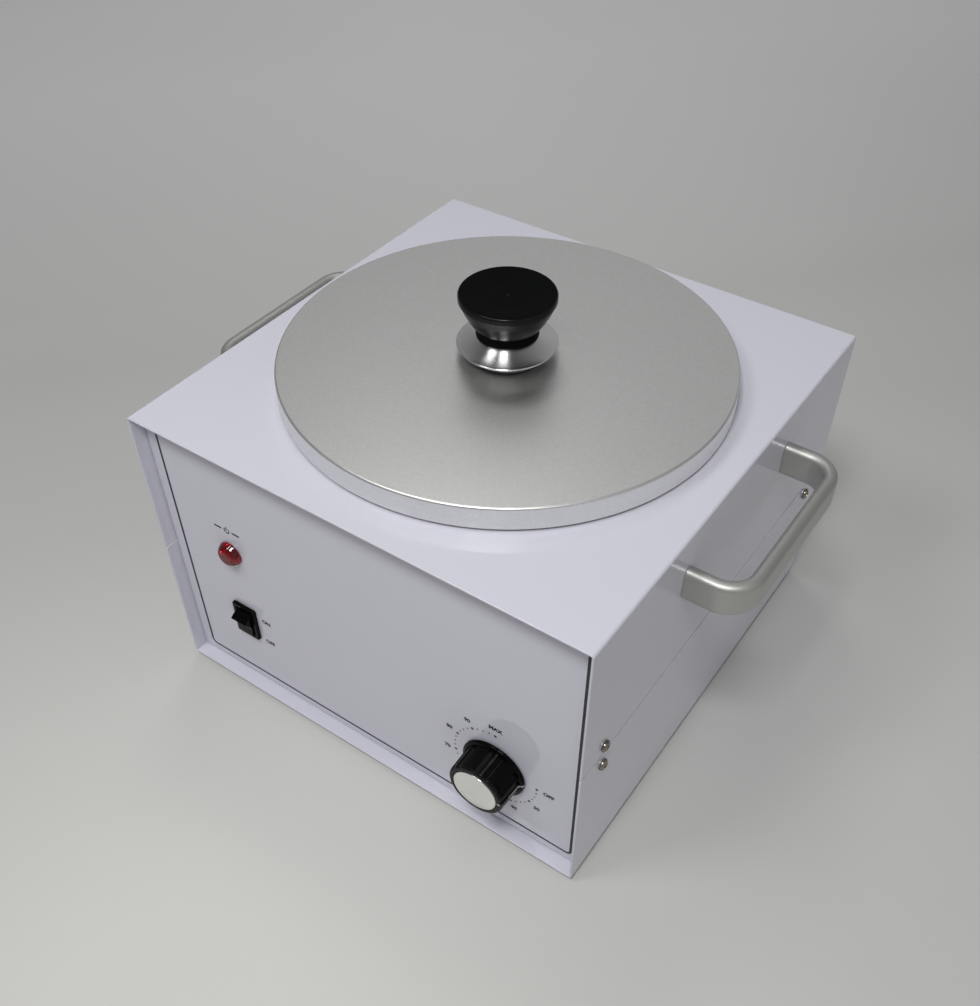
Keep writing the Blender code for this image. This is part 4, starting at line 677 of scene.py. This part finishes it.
def make_escutcheon():
    """A pressed dish: a flat seat that flares down to a rolled rim, and a foot under it."""
    low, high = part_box("lid_escutcheon")
    sheet, seat = ESCUTCHEON_SHEET, ESCUTCHEON_SEAT
    roll = sheet / 2
    edge = high.x - roll
    top = high.z - LID_TOP
    foot = low.z - LID_TOP
    fall = top - ESCUTCHEON_RIM_HEIGHT - roll
    flare, under = [], []
    for step in range(1, ESCUTCHEON_STEPS):
        share = step / ESCUTCHEON_STEPS
        reach = seat + (edge - seat) * share
        height = top - fall * (1 - (1 - share) ** ESCUTCHEON_CURVE)
        flare.append((reach, height))
        under.insert(0, (reach - roll, height - sheet))
    profile = [(LID_HOLE, top), (seat - roll / 2, top), (seat, top - roll / 4)] + flare
    profile += arc((edge, ESCUTCHEON_RIM_HEIGHT), roll, math.pi / 2, -math.pi / 2, 2 * FINE)
    profile += [
        (ESCUTCHEON_FOOT + sheet, foot + sheet), (ESCUTCHEON_FOOT + sheet, foot + roll / 2),
        (ESCUTCHEON_FOOT + roll, foot), (ESCUTCHEON_FOOT - roll, foot),
        (ESCUTCHEON_FOOT, foot + sheet),
    ]
    profile += under[1:] + [(seat - roll, top - sheet), (LID_HOLE, top - sheet)]
    dish = on_axis(turned(profile, closed=True), LID_TOP)
    dish = finished("lid_escutcheon_dish", dish, "lid_assembly", "lid_escutcheon", "bright_steel")
    # The underside and the foot get the darker steel: painted shade under the dish
    limit = LID_TOP + ESCUTCHEON_RIM_HEIGHT - roll
    second_look(dish, "escutcheon_painted_shade",
                lambda face: face.center.z < limit or face.normal.z < FACING_DOWN)


KNOB_NECK = 0.0148
KNOB_NECK_HEIGHT = 0.0052
KNOB_WAIST = 0.0164
KNOB_LIP_HEIGHT = 0.0034
KNOB_CONE_STEPS = 16
KNOB_BULGE = 0.0006
KNOB_LIP_STEP = 0.0006
KNOB_EDGE = 0.0014
KNOB_EDGE_ROUNDING = 0.9
KNOB_DISH = 0.0012
KNOB_DISH_BEND = (0.55, 0.85)
KNOB_BORE = 0.0028
KNOB_BORE_DEPTH = 0.0123


def make_lid_knob():
    """A tapered knob: a neck, a glossy cone, a lip with a groove under it, and a dished top."""
    low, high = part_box("lid_knob")
    start = low.z - LID_TOP
    top = high.z - LID_TOP
    radius = high.x
    shoulder = start + KNOB_NECK_HEIGHT
    lip = top - KNOB_LIP_HEIGHT
    step = KNOB_LIP_STEP
    bore_end = start + KNOB_BORE_DEPTH
    foot = filleted([
        (0, bore_end, 0), (KNOB_BORE, bore_end, 0), (KNOB_BORE, start, step / 2),
        (KNOB_NECK, start, step), (KNOB_NECK, shoulder, step / 2),
        (KNOB_WAIST - step / 2, shoulder, step / 4), (KNOB_WAIST, shoulder + step / 2, 0),
    ])
    cone = []
    for index in range(1, KNOB_CONE_STEPS + 1):
        share = index / KNOB_CONE_STEPS
        bulge = KNOB_BULGE * 4 * share * (1 - share)
        cone.append((KNOB_WAIST + (radius - step - KNOB_WAIST) * share + bulge,
                     shoulder + step / 2 + (lip - shoulder - step) * share))
    rim = filleted([
        (radius - step, lip - step / 2, 0), (radius - 2 * step, lip - step / 4, 0),
        (radius - 2 * step, lip, 0), (radius, lip, step / 2), (radius, top - KNOB_EDGE, 0),
    ])
    side = foot + cone + rim[1:]
    dish = radius - 2 * KNOB_EDGE
    across, down = KNOB_DISH_BEND
    crown = filleted([
        (radius, top - KNOB_EDGE, 0), (radius, top, KNOB_EDGE * KNOB_EDGE_ROUNDING),
        (dish + KNOB_EDGE / 2, top, KNOB_EDGE), (dish * across, top - KNOB_DISH * down, radius),
        (2 * step, top - KNOB_DISH, 0), (step, top - KNOB_DISH - step / 2, 0),
        (0, top - KNOB_DISH - step / 2, 0),
    ])
    knob = on_axis(turned(side + crown[1:]), LID_TOP)
    knob = finished("lid_knob_turned", knob, "lid_assembly", "lid_knob", "satin_black", "knob_side")

    def satin(face):
        away = (Vector((*face.center.xy, 0)) - AXIS).length
        crowned = face.center.z > LID_TOP + top - KNOB_EDGE and away < radius - KNOB_EDGE / 2
        return crowned or face.center.z < LID_TOP + shoulder

    second_look(knob, "satin_black", satin)


# Handles

HANDLE_THICKNESS = 0.0068
HANDLE_CORNER = 0.0172
HANDLE_ROUNDING = 0.92


def make_handles():
    half = HANDLE_THICKNESS / 2
    bend = HANDLE_CORNER - half
    for side, node in ((-1, "handle_left"), (1, "handle_right")):
        low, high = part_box(node)
        reach = (high.x - low.x) - half
        along = (high.y - low.y) / 2 - half
        section = rounded_rectangle(half, (high.z - low.z) / 2, half * HANDLE_ROUNDING)
        path = filleted([
            (-GAP, -along, 0), (reach, -along, bend), (reach, along, bend), (-GAP, along, 0),
        ], steps=3 * FINE)
        bm = softened(swept(path, section), LIP, 2)
        if side < 0:
            moved(bm, Matrix.Scale(-1, 4, (1, 0, 0)))
        root = low.x if side > 0 else high.x
        middle = point_at(node)
        moved(bm, Matrix.Translation((root, middle.y, middle.z)))
        finished(node + "_band", bm, "root", node, "aluminium", "handle_aluminium")


# Screws

SCREW_RISE = 0.0018
SCREW_SHANK = 0.0015
# The head's outline from its seat to its top: radius, height and rounding
SCREW_HEAD = ((0.0030, 0, 0.0002), (0.0030, 0.00099, 0.0008), (0.00135, SCREW_RISE, 0.0030))
SCREW_SIDES = 32
SCREW_STEPS = 4
CROSS_HALF = 0.0018
CROSS_WAIST = 0.00045
CROSS_NECK_SHARE = 1.6
CROSS_DEPTH = 0.0011
CROSS_FLOOR = (0.45, 0.7)
CROSS_MOUTH = (1.25, 1.15)


def pan_head(length):
    """A pan-head screw along +Z with its seat at zero and a tapered cross recess."""
    profile = filleted([
        (0, -length, 0), (SCREW_SHANK, -length, SCREW_SHANK / 3), (SCREW_SHANK, 0, 0), *SCREW_HEAD,
        (0, SCREW_RISE, 0),
    ], steps=SCREW_STEPS)
    head = turned(profile, SCREW_SIDES)
    neck = CROSS_WAIST * CROSS_NECK_SHARE
    outline = []
    for x, y in ((1, 1), (-1, 1), (-1, -1), (1, -1)):
        corner = [(CROSS_HALF * x, CROSS_WAIST * y), (neck * x, neck * y),
                  (CROSS_WAIST * x, CROSS_HALF * y)]
        outline += corner if x == y else corner[::-1]

    def tapered(u, v, w):
        along, across = CROSS_FLOOR if w < SCREW_RISE else CROSS_MOUTH
        return (u * along, v * across, w)

    return carved(head, prism(outline, SCREW_RISE - CROSS_DEPTH, SCREW_RISE + OVERRUN, tapered))


CASE_SCREW_LENGTH = 0.0060
CASE_SCREW_TURNS_DEG = {"upper": 25, "lower": 62}


def make_case_screws():
    for side_name, side in (("left", -1), ("right", 1)):
        for end in ("front", "rear"):
            for level, turn in CASE_SCREW_TURNS_DEG.items():
                node = "case_screw_" + side_name + "_" + end + "_" + level
                low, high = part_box(node)
                seat = point_at(node)
                seat.x = (high.x if side > 0 else low.x) - side * SCREW_RISE
                spin = Matrix.Rotation(math.radians(turn), 4, "Z")
                screw = moved(pan_head(CASE_SCREW_LENGTH), aimed(seat, (side, 0, 0)) @ spin)
                finished(node + "_head", screw, "root", node, "zinc", "plated_screw")


# Lamp, switch and dial

def facing_front(bm, place):
    """Turns what was built along Z to face the front, with its foot at a place."""
    return moved(bm, Matrix.Translation(place) @ Matrix.Rotation(math.pi / 2, 4, "X"))


LENS_STEM = 0.0048
LENS_STEM_LENGTH = 0.0050
LENS_STEM_EDGE = 0.0003
LENS_FLANGE = 0.0009
LENS_FLANGE_EDGES = (0.0002, 0.0004)
LENS_SHOULDER_SHARE = 0.62
LENS_SHOULDER_CURVE = 0.0016
LENS_TIP_SHARE = 0.66
LENS_TIP_CURVE = 0.0026
LENS_CHAMBER = 0.0024
LENS_CHAMBER_SHARE = 0.45
LENS_SIDES = 64
CORE_RADIUS = 0.0014
CORE_SHARE = 0.25
CORE_SIDES = 32


def make_lamp():
    """A hollow lens with a flange round its foot, and the lamp's core in its chamber."""
    low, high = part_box("lamp_lens")
    radius = (high.x - low.x) / 2
    proud = PANEL_FRONT - low.y
    back = -LENS_STEM_LENGTH
    under, over = LENS_FLANGE_EDGES
    profile = filleted([
        (LENS_CHAMBER, back, 0), (LENS_STEM, back, LENS_STEM_EDGE), (LENS_STEM, GAP, 0),
        (radius, GAP, under), (radius, GAP + LENS_FLANGE, over),
        (radius - LENS_FLANGE, proud * LENS_SHOULDER_SHARE, LENS_SHOULDER_CURVE),
        (radius * LENS_TIP_SHARE, proud, LENS_TIP_CURVE), (0, proud, 0),
    ])
    end = proud * LENS_CHAMBER_SHARE
    chamber = filleted([
        (0, end, 0), (LENS_CHAMBER, end, LENS_CHAMBER / 2), (LENS_CHAMBER, back, 0),
    ])
    lens = facing_front(turned(profile + chamber[:-1], LENS_SIDES, closed=True), LAMP)
    finished("lamp_lens_dome", lens, "root", "lamp_lens", "red_lens")
    end = proud * CORE_SHARE
    core = filleted([(0, back + GAP, 0), (CORE_RADIUS, back + GAP, 0),
                     (CORE_RADIUS, end, CORE_RADIUS / 2), (0, end, 0)])
    core = facing_front(turned(core, CORE_SIDES), LAMP)
    finished("lamp_core", core, "root", None, "black_moulding", "gloss_black")


BEZEL_CORNER = 0.0010
BEZEL_EDGE = 0.0005
SWITCH_SETBACK = 0.0009
SWITCH_DEPTH = 0.0130
SWITCH_FLOOR = 0.0020
# Half of the width and of the height, and the rounding of the corners
SWITCH_BODY = (0.0064, 0.0097, 0.0006)
SWITCH_HOLLOW = (0.0053, 0.0089, 0.0004)
BLADE_HALF = (0.0024, 0.0004)
BLADE_RISE = 0.0050
BLADE_ROOT = 0.0010
BLADE_LENGTH = 0.0080


def make_rocker():
    """The switch's bezel and body in one moulding, with its two blades at the back."""
    low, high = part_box("rocker_housing")
    place = upright(ROCKER.x, ROCKER.z)
    front, back = low.y, PANEL_FRONT + SWITCH_DEPTH
    outline = rounded_rectangle((high.x - low.x) / 2, (high.z - low.z) / 2, BEZEL_CORNER)
    bezel = prism(outline, front, PANEL_FRONT - GAP, place)
    bezel = softened(bezel, BEZEL_EDGE, where=lambda co: co.y < front + GAP)
    body = prism(rounded_rectangle(*SWITCH_BODY), front + SWITCH_SETBACK, back, place)
    hollow = prism(rounded_rectangle(*SWITCH_HOLLOW), front - OVERRUN, back - SWITCH_FLOOR, place)
    width, thickness = BLADE_HALF
    blades = []
    for z in (ROCKER.z - BLADE_RISE, ROCKER.z + BLADE_RISE):
        blades.append(box((ROCKER.x - width, back - BLADE_ROOT, z - thickness),
                          (ROCKER.x + width, back + BLADE_LENGTH, z + thickness)))
    housing = carved(carved(carved(bezel, body, "UNION"), hollow), joined(blades), "UNION")
    finished("rocker_bezel", housing, "root", "rocker_housing", "gloss_black")


PADDLE_WIDTH = 0.0100
PADDLE_TILT_DEG = 18.0
# Across, up and rounding, from the pivot: the valley, and the right half from tip to keel
PADDLE_VALLEY = (0, 0.0054, 0.0040)
PADDLE_RIGHT = (
    (0.0065, 0.0075, 0.0005), (0.00741, 0.00435, 0.0030), (0.00741, 0.001125, 0.0010),
    (0.00585, -0.0015, 0.0010), (0.00195, -0.0050, 0.0010),
)


def make_paddle():
    joint = next(joint for joint in frame["joints"] if joint["name"] == "rocker_press")
    pivot = Vector(joint["pos_m"])
    left = [(-u, v, rounding) for u, v, rounding in reversed(PADDLE_RIGHT)]
    outline = filleted([PADDLE_VALLEY, *PADDLE_RIGHT, *left], closed=True)
    paddle = prism(outline, -PADDLE_WIDTH / 2, PADDLE_WIDTH / 2, lambda u, v, w: (w, -v, u))
    paddle = softened(paddle, LIP)
    tilt = Matrix.Rotation(math.radians(PADDLE_TILT_DEG), 4, "X")
    moved(paddle, Matrix.Translation(pivot) @ tilt)
    finished("rocker_paddle_key", paddle, "rocker", "rocker_paddle", "gloss_black")


DIAL_GRIPS = 6
DIAL_STEPS = 40
DIAL_TURN_DEG = 18.5
GRIP_SHARE = 0.275
RIB_SHARE = 0.060
FLANK_SHARE = 0.030
# Radius, depth of the grooves, and height over the panel: the hollow underside, the skirt,
# the fluted body and the pocket in its face
DIAL_LEVELS = (
    (0.0034, 0, 0.0031), (0.0157, 0, 0.0031), (0.0157, 0, 0.0007), (0.0170, 0, 0.0007),
    (0.0173, 0, 0.0010), (0.0173, 0, 0.0019), (0.0170, 0, 0.0024), (0.0164, 0, 0.0027),
    (0.0157, 0.0007, 0.0029), (0.0153, 0.0007, 0.0034), (0.0149, 0.0007, 0.0156),
    (0.0147, 0.00056, 0.0162), (0.0142, 0.00021, 0.0167), (0.0137, 0, 0.0168),
    (0.0123, 0, 0.0168), (0.0121, 0, 0.0166), (0.0121, 0, 0.0158), (0.0034, 0, 0.0158),
)
DIAL_SHOULDER = 0.0156
DISC_EDGE = 0.0001
DISC_CURVE = 0.0003
DISC_RIM = 0.0007
DISC_DROP = 0.0002


def fluted(bm, radius, depth, height):
    """One ring of the dial's side: wide smooth lands, and between them pairs of shallow
    grooves with a rib in the middle."""
    ring = []
    for step in range(DIAL_GRIPS * DIAL_STEPS):
        share = (step % DIAL_STEPS) / DIAL_STEPS
        off = min(share, 1 - share)
        flank = min(off - RIB_SHARE, GRIP_SHARE - off) / FLANK_SHARE
        dip = depth * min(max(flank, 0), 1)
        angle = math.radians(DIAL_TURN_DEG) + math.tau * step / (DIAL_GRIPS * DIAL_STEPS)
        reach = radius - dip
        ring.append(bm.verts.new((reach * math.cos(angle), reach * math.sin(angle), height)))
    return ring


def make_dial():
    """The dial, whose rim is glossier than its side, and the disc in the pocket of its face."""
    bm = bmesh.new()
    bridged(bm, [fluted(bm, *level) for level in DIAL_LEVELS], looped=True)
    dial = facing_front(bm, DIAL)
    dial = finished("thermostat_dial", dial, "dial", "thermostat_knob", "gloss_black")
    second_look(dial, "knob_side", lambda face: face.center.y < PANEL_FRONT - DIAL_SHOULDER)

    low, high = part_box("knob_face_disc")
    radius = (high.x - low.x) / 2
    proud, back = PANEL_FRONT - low.y, PANEL_FRONT - high.y
    sunk = proud - DISC_DROP
    profile = filleted([
        (0, back, 0), (radius, back, DISC_EDGE), (radius, proud, DISC_CURVE),
        (radius - DISC_RIM, proud, DISC_DROP), (radius - DISC_RIM - DISC_CURVE, sunk, DISC_EDGE),
        (0, sunk, 0),
    ])
    disc = facing_front(turned(profile), DIAL)
    finished("thermostat_dial_disc", disc, "dial", "knob_face_disc", "aluminium", "dial_disc")


INDEX_HALF = 0.00045
INDEX_THICKNESS = 0.0001
# Radius, height over the panel, and rounding of the line's bends
INDEX_RUN = (
    (0.0124, 0.01685, 0), (0.0140, 0.01685, 0.0003), (0.01485, 0.0158, 0.0003),
    (0.01535, 0.0036, 0.0004), (0.0161, 0.00275, 0.0002), (0.0167, 0.00275, 0.0003),
    (0.01735, 0.0021, 0.0003), (0.01735, 0.0012, 0),
)


def make_index():
    """The dial's white line: over its rim, down its side and across its skirt, towards OFF."""
    run = filleted(INDEX_RUN)
    bm = bmesh.new()
    rings = []
    for index, (radius, height) in enumerate(run):
        ahead = (run[min(index + 1, len(run) - 1)] - run[max(index - 1, 0)]).normalized()
        corners = []
        inward, down = abs(ahead.y) * INDEX_THICKNESS, abs(ahead.x) * INDEX_THICKNESS
        for side, sunk in ((-1, 0), (1, 0), (1, 1), (-1, 1)):
            place = (radius - inward * sunk, side * INDEX_HALF, height - down * sunk)
            corners.append(bm.verts.new(place))
        rings.append(corners)
    line = facing_front(bridged(bm, rings, capped=True), DIAL)
    finished("thermostat_dial_index", line, "dial", None, "gloss_black", "white_ink")


# Mains inlet

# Half of the width and of the height, and the rounding of the corners
INLET_FLANGE = (0.0240, 0.01125, 0.0045)
INLET_BARREL = (0.01375, 0.00975, 0.0030)
INLET_EDGE = 0.0006
INLET_DEPTH = 0.0200
INLET_FLOOR = 0.0025
INLET_ROOT = 0.0015
INLET_HOLE = 0.0018
INLET_HOLE_REACH = 0.0200
INLET_SCREW_LENGTH = 0.0066
# The socket's outline: across, up and rounding
SOCKET = (
    (-0.0121, -0.0081, 0.0010), (0.0121, -0.0081, 0.0010), (0.0121, 0.0041, 0.0008),
    (0.0081, 0.0081, 0.0008), (-0.0081, 0.0081, 0.0008), (-0.0121, 0.0041, 0.0008),
)
PIN_HALF = (0.0010, 0.0020)
PIN_PITCH = 0.0070
PIN_RISE = 0.0020
PIN_BACK = 0.0070
PIN_REACH = 0.0175
PIN_EDGE = 0.0004


def make_inlet():
    """A flanged socket with two cut corners, three flat pins and two screws."""
    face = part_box("inlet_body")[1].y
    inlet = point_at("inlet_body")
    seat = REAR_FACE + GAP
    back = seat - INLET_DEPTH
    place = upright(inlet.x, inlet.z)
    flange = prism(rounded_rectangle(*INLET_FLANGE), seat, face, place)
    flange = softened(flange, INLET_EDGE, where=lambda co: co.y > face - GAP)
    barrel = prism(rounded_rectangle(*INLET_BARREL), back, seat + INLET_ROOT, place)
    holes = [prism(filleted(SOCKET, closed=True), back + INLET_FLOOR, face + OVERRUN, place)]
    for x in (inlet.x - INLET_HOLE_REACH, inlet.x + INLET_HOLE_REACH):
        holes.append(rod((x, seat - OVERRUN, inlet.z), (x, face + OVERRUN, inlet.z), INLET_HOLE))
    body = carved(carved(flange, barrel, "UNION"), joined(holes))
    finished("inlet_socket", body, "root", "inlet_body", "black_moulding")
    width, height = PIN_HALF
    pins = []
    for column in (-1, 0, 1):
        x = inlet.x + column * PIN_PITCH
        z = inlet.z + (-PIN_RISE if column else PIN_RISE)
        pin = box((x - width, back - PIN_BACK, z - height), (x + width, back + PIN_REACH, z + height))
        pins.append(softened(pin, PIN_EDGE))
    finished("inlet_pins", joined(pins), "root", None, "black_moulding", "zinc")
    for node in ("inlet_screw_left", "inlet_screw_right"):
        seat_point = point_at(node)
        seat_point.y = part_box(node)[1].y - SCREW_RISE
        screw = moved(pan_head(INLET_SCREW_LENGTH), aimed(seat_point, (0, 1, 0)))
        finished(node + "_head", screw, "root", node, "zinc")


# Printed marks on the front panel

INK_PROUD = 0.00003
LETTER_WEIGHT = 0.00018
LETTER_STEPS = 3
LETTER_WELD = 0.000001
BORDER_MIDDLE = (0.0017, 0.0856)
BORDER_HALF = (0.1187, 0.0760)
BORDER_LINE = 0.0014
BORDER_CORNER = 0.0035
SCALE_LABELS = ("OFF", "30", "40", "50", "60", "70", "80", "90", "MAX")
SCALE_SIZE = 0.0034
SCALE_REACH = 0.0284
SCALE_OFF_REACH = 0.0298
SCALE_TURN_DEG = 270
DOTS_PER_LABEL = 4
DOT_REACH = 0.0233
DOT_RADIUS = 0.00046
MAIN_DOT_RADIUS = 0.00080
DOT_SIDES = 12
SWITCH_LABEL_SIZE = 0.0036
SWITCH_LABEL_REACH = 0.0136
SWITCH_LABELS = (("ON", 0.0050), ("OFF", -0.0105))
SIGN_RISE = 0.0148
SIGN_RADIUS = 0.0019
SIGN_LINE = 0.0007
SIGN_ARC_DEG = (130, 410)
SIGN_STEPS = 20
# Left, right, low and high of the sign's stroke and of the lines beside it
SIGN_BARS = (
    (-0.00035, 0.00035, 0.0002, 0.0025), (-0.0082, -0.0034, -0.00056, 0.00056),
    (0.0034, 0.0082, -0.00056, 0.00056),
)


def on_panel(u, v, w):
    return (u, PANEL_FRONT - w, v)


def lettering(words, size, x, z):
    """Flat letters on the panel, centred on a point."""
    curve = bpy.data.curves.new("letters", "FONT")
    curve.body = words
    curve.size = size
    curve.align_x = "CENTER"
    curve.align_y = "CENTER"
    curve.extrude = INK_PROUD
    curve.offset = LETTER_WEIGHT
    curve.resolution_u = LETTER_STEPS
    item = bpy.data.objects.new("letters", curve)
    bpy.context.scene.collection.objects.link(item)
    bpy.context.view_layer.update()
    mesh = item.evaluated_get(bpy.context.evaluated_depsgraph_get()).to_mesh()
    bm = bmesh.new()
    bm.from_mesh(mesh)
    bpy.data.objects.remove(item)
    bpy.data.curves.remove(curve)
    bmesh.ops.remove_doubles(bm, verts=bm.verts, dist=LETTER_WELD)
    return facing_front(bm, (x, PANEL_FRONT, z))


def printed(outline):
    return prism(outline, -INK_PROUD, INK_PROUD, on_panel)


def border():
    """The thin printed frame, as a band between two rounded outlines."""
    x, z = BORDER_MIDDLE
    width, height = BORDER_HALF
    bm = bmesh.new()
    rings = []
    for inset, w in ((0, -1), (BORDER_LINE, -1), (BORDER_LINE, 1), (0, 1)):
        line = rounded_rectangle(width - inset, height - inset, BORDER_CORNER - inset)
        line = [on_panel(x + u, z + v, w * INK_PROUD) for u, v in line]
        rings.append([bm.verts.new(corner) for corner in line])
    return bridged(bm, rings, looped=True)


def dial_scale():
    """Dots round the dial, from OFF at its right clockwise to MAX at its top, with labels."""
    shapes = []
    count = (len(SCALE_LABELS) - 1) * DOTS_PER_LABEL
    for index in range(count + 1):
        turn = -math.radians(SCALE_TURN_DEG) * index / count
        across, up = math.cos(turn), math.sin(turn)
        label = None if index % DOTS_PER_LABEL else SCALE_LABELS[index // DOTS_PER_LABEL]
        radius = MAIN_DOT_RADIUS if label else DOT_RADIUS
        middle = (DIAL.x + DOT_REACH * across, DIAL.z + DOT_REACH * up)
        shapes.append(printed(arc(middle, radius, 0, math.tau, DOT_SIDES)[:-1]))
        if label:
            reach = SCALE_OFF_REACH if label == "OFF" else SCALE_REACH
            shapes.append(lettering(label, SCALE_SIZE, DIAL.x + reach * across, DIAL.z + reach * up))
    return shapes


def lamp_mark():
    """A plain power sign over the lamp, between two short lines."""
    middle = (LAMP.x, LAMP.z + SIGN_RISE)
    start, end = (math.radians(angle) for angle in SIGN_ARC_DEG)
    outer = arc(middle, SIGN_RADIUS, start, end, SIGN_STEPS)
    inner = arc(middle, SIGN_RADIUS - SIGN_LINE, start, end, SIGN_STEPS)
    shapes = [printed(outer + inner[::-1])]
    for left, right, low, high in SIGN_BARS:
        corners = [(left, low), (right, low), (right, high), (left, high)]
        shapes.append(printed([(middle[0] + u, middle[1] + v) for u, v in corners]))
    return shapes


def make_print():
    shapes = [border()] + dial_scale() + lamp_mark()
    x = ROCKER.x + SWITCH_LABEL_REACH
    for words, rise in SWITCH_LABELS:
        shapes.append(lettering(words, SWITCH_LABEL_SIZE, x, ROCKER.z + rise))
    finished("front_panel_print", joined(shapes), "root", None, "white_coat", "black_ink")


NODE_WELD = 0.00001
NODE_SHARP_FROM_DEG = 32


def dress_inner_nodes():
    """The nodes that keep their own shape: smooth where they are round, in their finish."""
    slots = {part["node"]: part["material_slot"] for part in frame["record"]["subparts"]}
    for name, item in frame["nodes"].items():
        if item.hide_render:
            continue
        item.data.materials.clear()
        item.data.materials.append(LOOKS[slots[name]])
        item.data.shade_smooth()
        weld = item.modifiers.new("weld", "WELD")
        weld.merge_threshold = NODE_WELD
        split = item.modifiers.new("split", "EDGE_SPLIT")
        split.split_angle = math.radians(NODE_SHARP_FROM_DEG)


# Floor, lights and camera

FLOOR_HALF = 3.0
FLOOR_CELLS = 24
# The middle of the painted pool of light on the floor
LIGHT_POOL_CENTRE = (0.01, -0.28, 0)
BACKWARD = (-0.748, 0.663, 0)
SIDEWAYS = (0.663, 0.748, 0)
# How far back the thin line of painted shade lies, where a backdrop would meet the floor
CREASE = 0.31


def make_floor():
    """A pale table top with painted light: a painted pool of light just before the object,
    painted shade to one side and in a thin line along a crease, lighter again far behind it,
    as a backdrop is, and a painted glow there."""
    bm = bmesh.new()
    bmesh.ops.create_grid(bm, x_segments=FLOOR_CELLS, y_segments=FLOOR_CELLS, size=FLOOR_HALF)
    floor = loose("floor", bm)
    look = Look("floor", IOR=1.45)
    # Painted pool of light just before the object
    light_pool = look.ramp(look.distance((1, 1, 0), LIGHT_POOL_CENTRE), 1.0, 0.0, 0.05, 0.32)
    behind, sideways = look.along(BACKWARD), look.along(SIDEWAYS)
    tone = look.blend(light_pool, (0.600, 0.600, 0.585), (0.74, 0.735, 0.700))
    tone = look.blend(look.ramp(behind, 0.0, 1.0, 0.30, 0.80), tone, (0.76, 0.76, 0.755))
    # Painted light: lighter still to the right, far behind
    right = look.maths("MULTIPLY", look.ramp(sideways, 0.0, 0.24, -0.25, 0.35),
                       look.ramp(behind, 0.0, 1.0, 0.15, 0.40))
    tone = look.blend(right, tone, (0.95, 0.95, 0.945))
    # Painted shade: darker against SIDEWAYS and in a thin line at the crease, plus a faint random drift of tone
    crease = look.maths("ABSOLUTE", look.maths("SUBTRACT", behind, CREASE))
    dim = look.maths("ADD", look.ramp(sideways, 0.11, 0.0, -0.50, 0.15),
                     look.ramp(crease, 0.02, 0.0, 0.0, 0.06))
    dim = look.maths("ADD", dim, look.ramp(look.noise(3, 3), 0.0, 0.02))
    look.colour(dim, tone, (0.02, 0.02, 0.02))
    look.roughness(look.noise(40, 2), 0.55, 0.65)
    look.bump(look.noise(300, 3), 0.00003)
    # A painted glow far behind, seen only by camera, glossy and transmission rays
    rays = look.node("ShaderNodeLightPath")
    glow_rays = look.maths("ADD", rays.outputs["Is Camera Ray"], rays.outputs["Is Glossy Ray"])
    glow_rays = look.maths("ADD", glow_rays, rays.outputs["Is Transmission Ray"])
    look.shader.inputs["Emission Color"].default_value = (1, 1, 1, 1)
    look.feed(look.shader.inputs["Emission Strength"],
              look.maths("MULTIPLY", glow_rays, look.ramp(behind, 0.0, 0.10, 0.40, 1.05)))
    floor.data.materials.append(LOOKS["floor"])


# Each lamp's name, place, width and depth, and power in watts; all aim at one point
LAMP_AIM = (0, 0, 0.08)
LAMPS = (
    ("key", (0.22, -0.57, 1.10), (0.28, 0.24), 6.2),
    ("left_fill", (-0.30, -0.55, 1.10), (0.3, 0.3), 2.35),
    ("back_fill", (-0.35, 0.35, 1.20), (0.3, 0.3), 1.2),
)

# The room is dim all round; each side adds a direction, a sharpness and a strength
ROOM_COLOUR = (0.985, 0.99, 1.0, 1)
ROOM_LEVEL = 0.07
ROOM_SIDES = (
    ((-1.0, -0.3, 0.3), 4.0, 0.09),
    ((-0.3, 0.9, 0.3), 2.0, 0.31),
    ((1.0, -0.1, 0.35), 4.0, 0.43),
    ((0.1, -1.0, 0.35), 4.0, 0.12),
)


def make_lights():
    """A wide soft lamp over the camera, two small fills, and a dim room."""
    for name, place, size, power in LAMPS:
        data = bpy.data.lights.new(name, "AREA")
        data.shape = "RECTANGLE"
        data.size, data.size_y = size
        data.energy = power
        item = bpy.data.objects.new(name, data)
        item.location = place
        item.rotation_euler = (Vector(LAMP_AIM) - Vector(place)).to_track_quat("-Z", "Y").to_euler()
        bpy.context.scene.collection.objects.link(item)
    world = bpy.data.worlds.new("studio")
    world.use_nodes = True
    room = Nodes(world.node_tree, "Generated")
    total = ROOM_LEVEL
    for aim, sharpness, strength in ROOM_SIDES:
        facing = room.maths("MAXIMUM", room.along(Vector(aim).normalized()), 0.0)
        side = room.maths("MULTIPLY", room.maths("POWER", facing, sharpness), strength)
        total = room.maths("ADD", side, total)
    background = world.node_tree.nodes["Background"]
    background.inputs["Color"].default_value = ROOM_COLOUR
    room.feed(background.inputs["Strength"], total)
    bpy.context.scene.world = world


CAMERA_PLACE = (0.24108, -0.35478, 0.47919)
CAMERA_TURN_DEG = (43.42, 0, 34.79)
CAMERA_SENSOR_MM = 36
CAMERA_LENS_MM = 39.17
CAMERA_SHIFT = (-0.0017, 0.0826)
CAMERA_CLIP = (0.02, 20)


def make_camera():
    data = bpy.data.cameras.new("camera")
    data.sensor_width = CAMERA_SENSOR_MM
    data.lens = CAMERA_LENS_MM
    data.shift_x, data.shift_y = CAMERA_SHIFT
    data.clip_start, data.clip_end = CAMERA_CLIP
    camera = bpy.data.objects.new("camera", data)
    camera.location = CAMERA_PLACE
    camera.rotation_euler = [math.radians(angle) for angle in CAMERA_TURN_DEG]
    bpy.context.scene.collection.objects.link(camera)
    bpy.context.scene.camera = camera


make_covers()
make_front_panel()
make_rear_panel()
make_feet()
make_well()
make_pot()
make_lid()
make_escutcheon()
make_lid_knob()
make_handles()
make_case_screws()
make_lamp()
make_rocker()
make_paddle()
make_dial()
make_index()
make_inlet()
make_print()
dress_inner_nodes()
make_floor()
make_lights()
make_camera()
bpy.context.scene.view_settings.view_transform = "Standard"
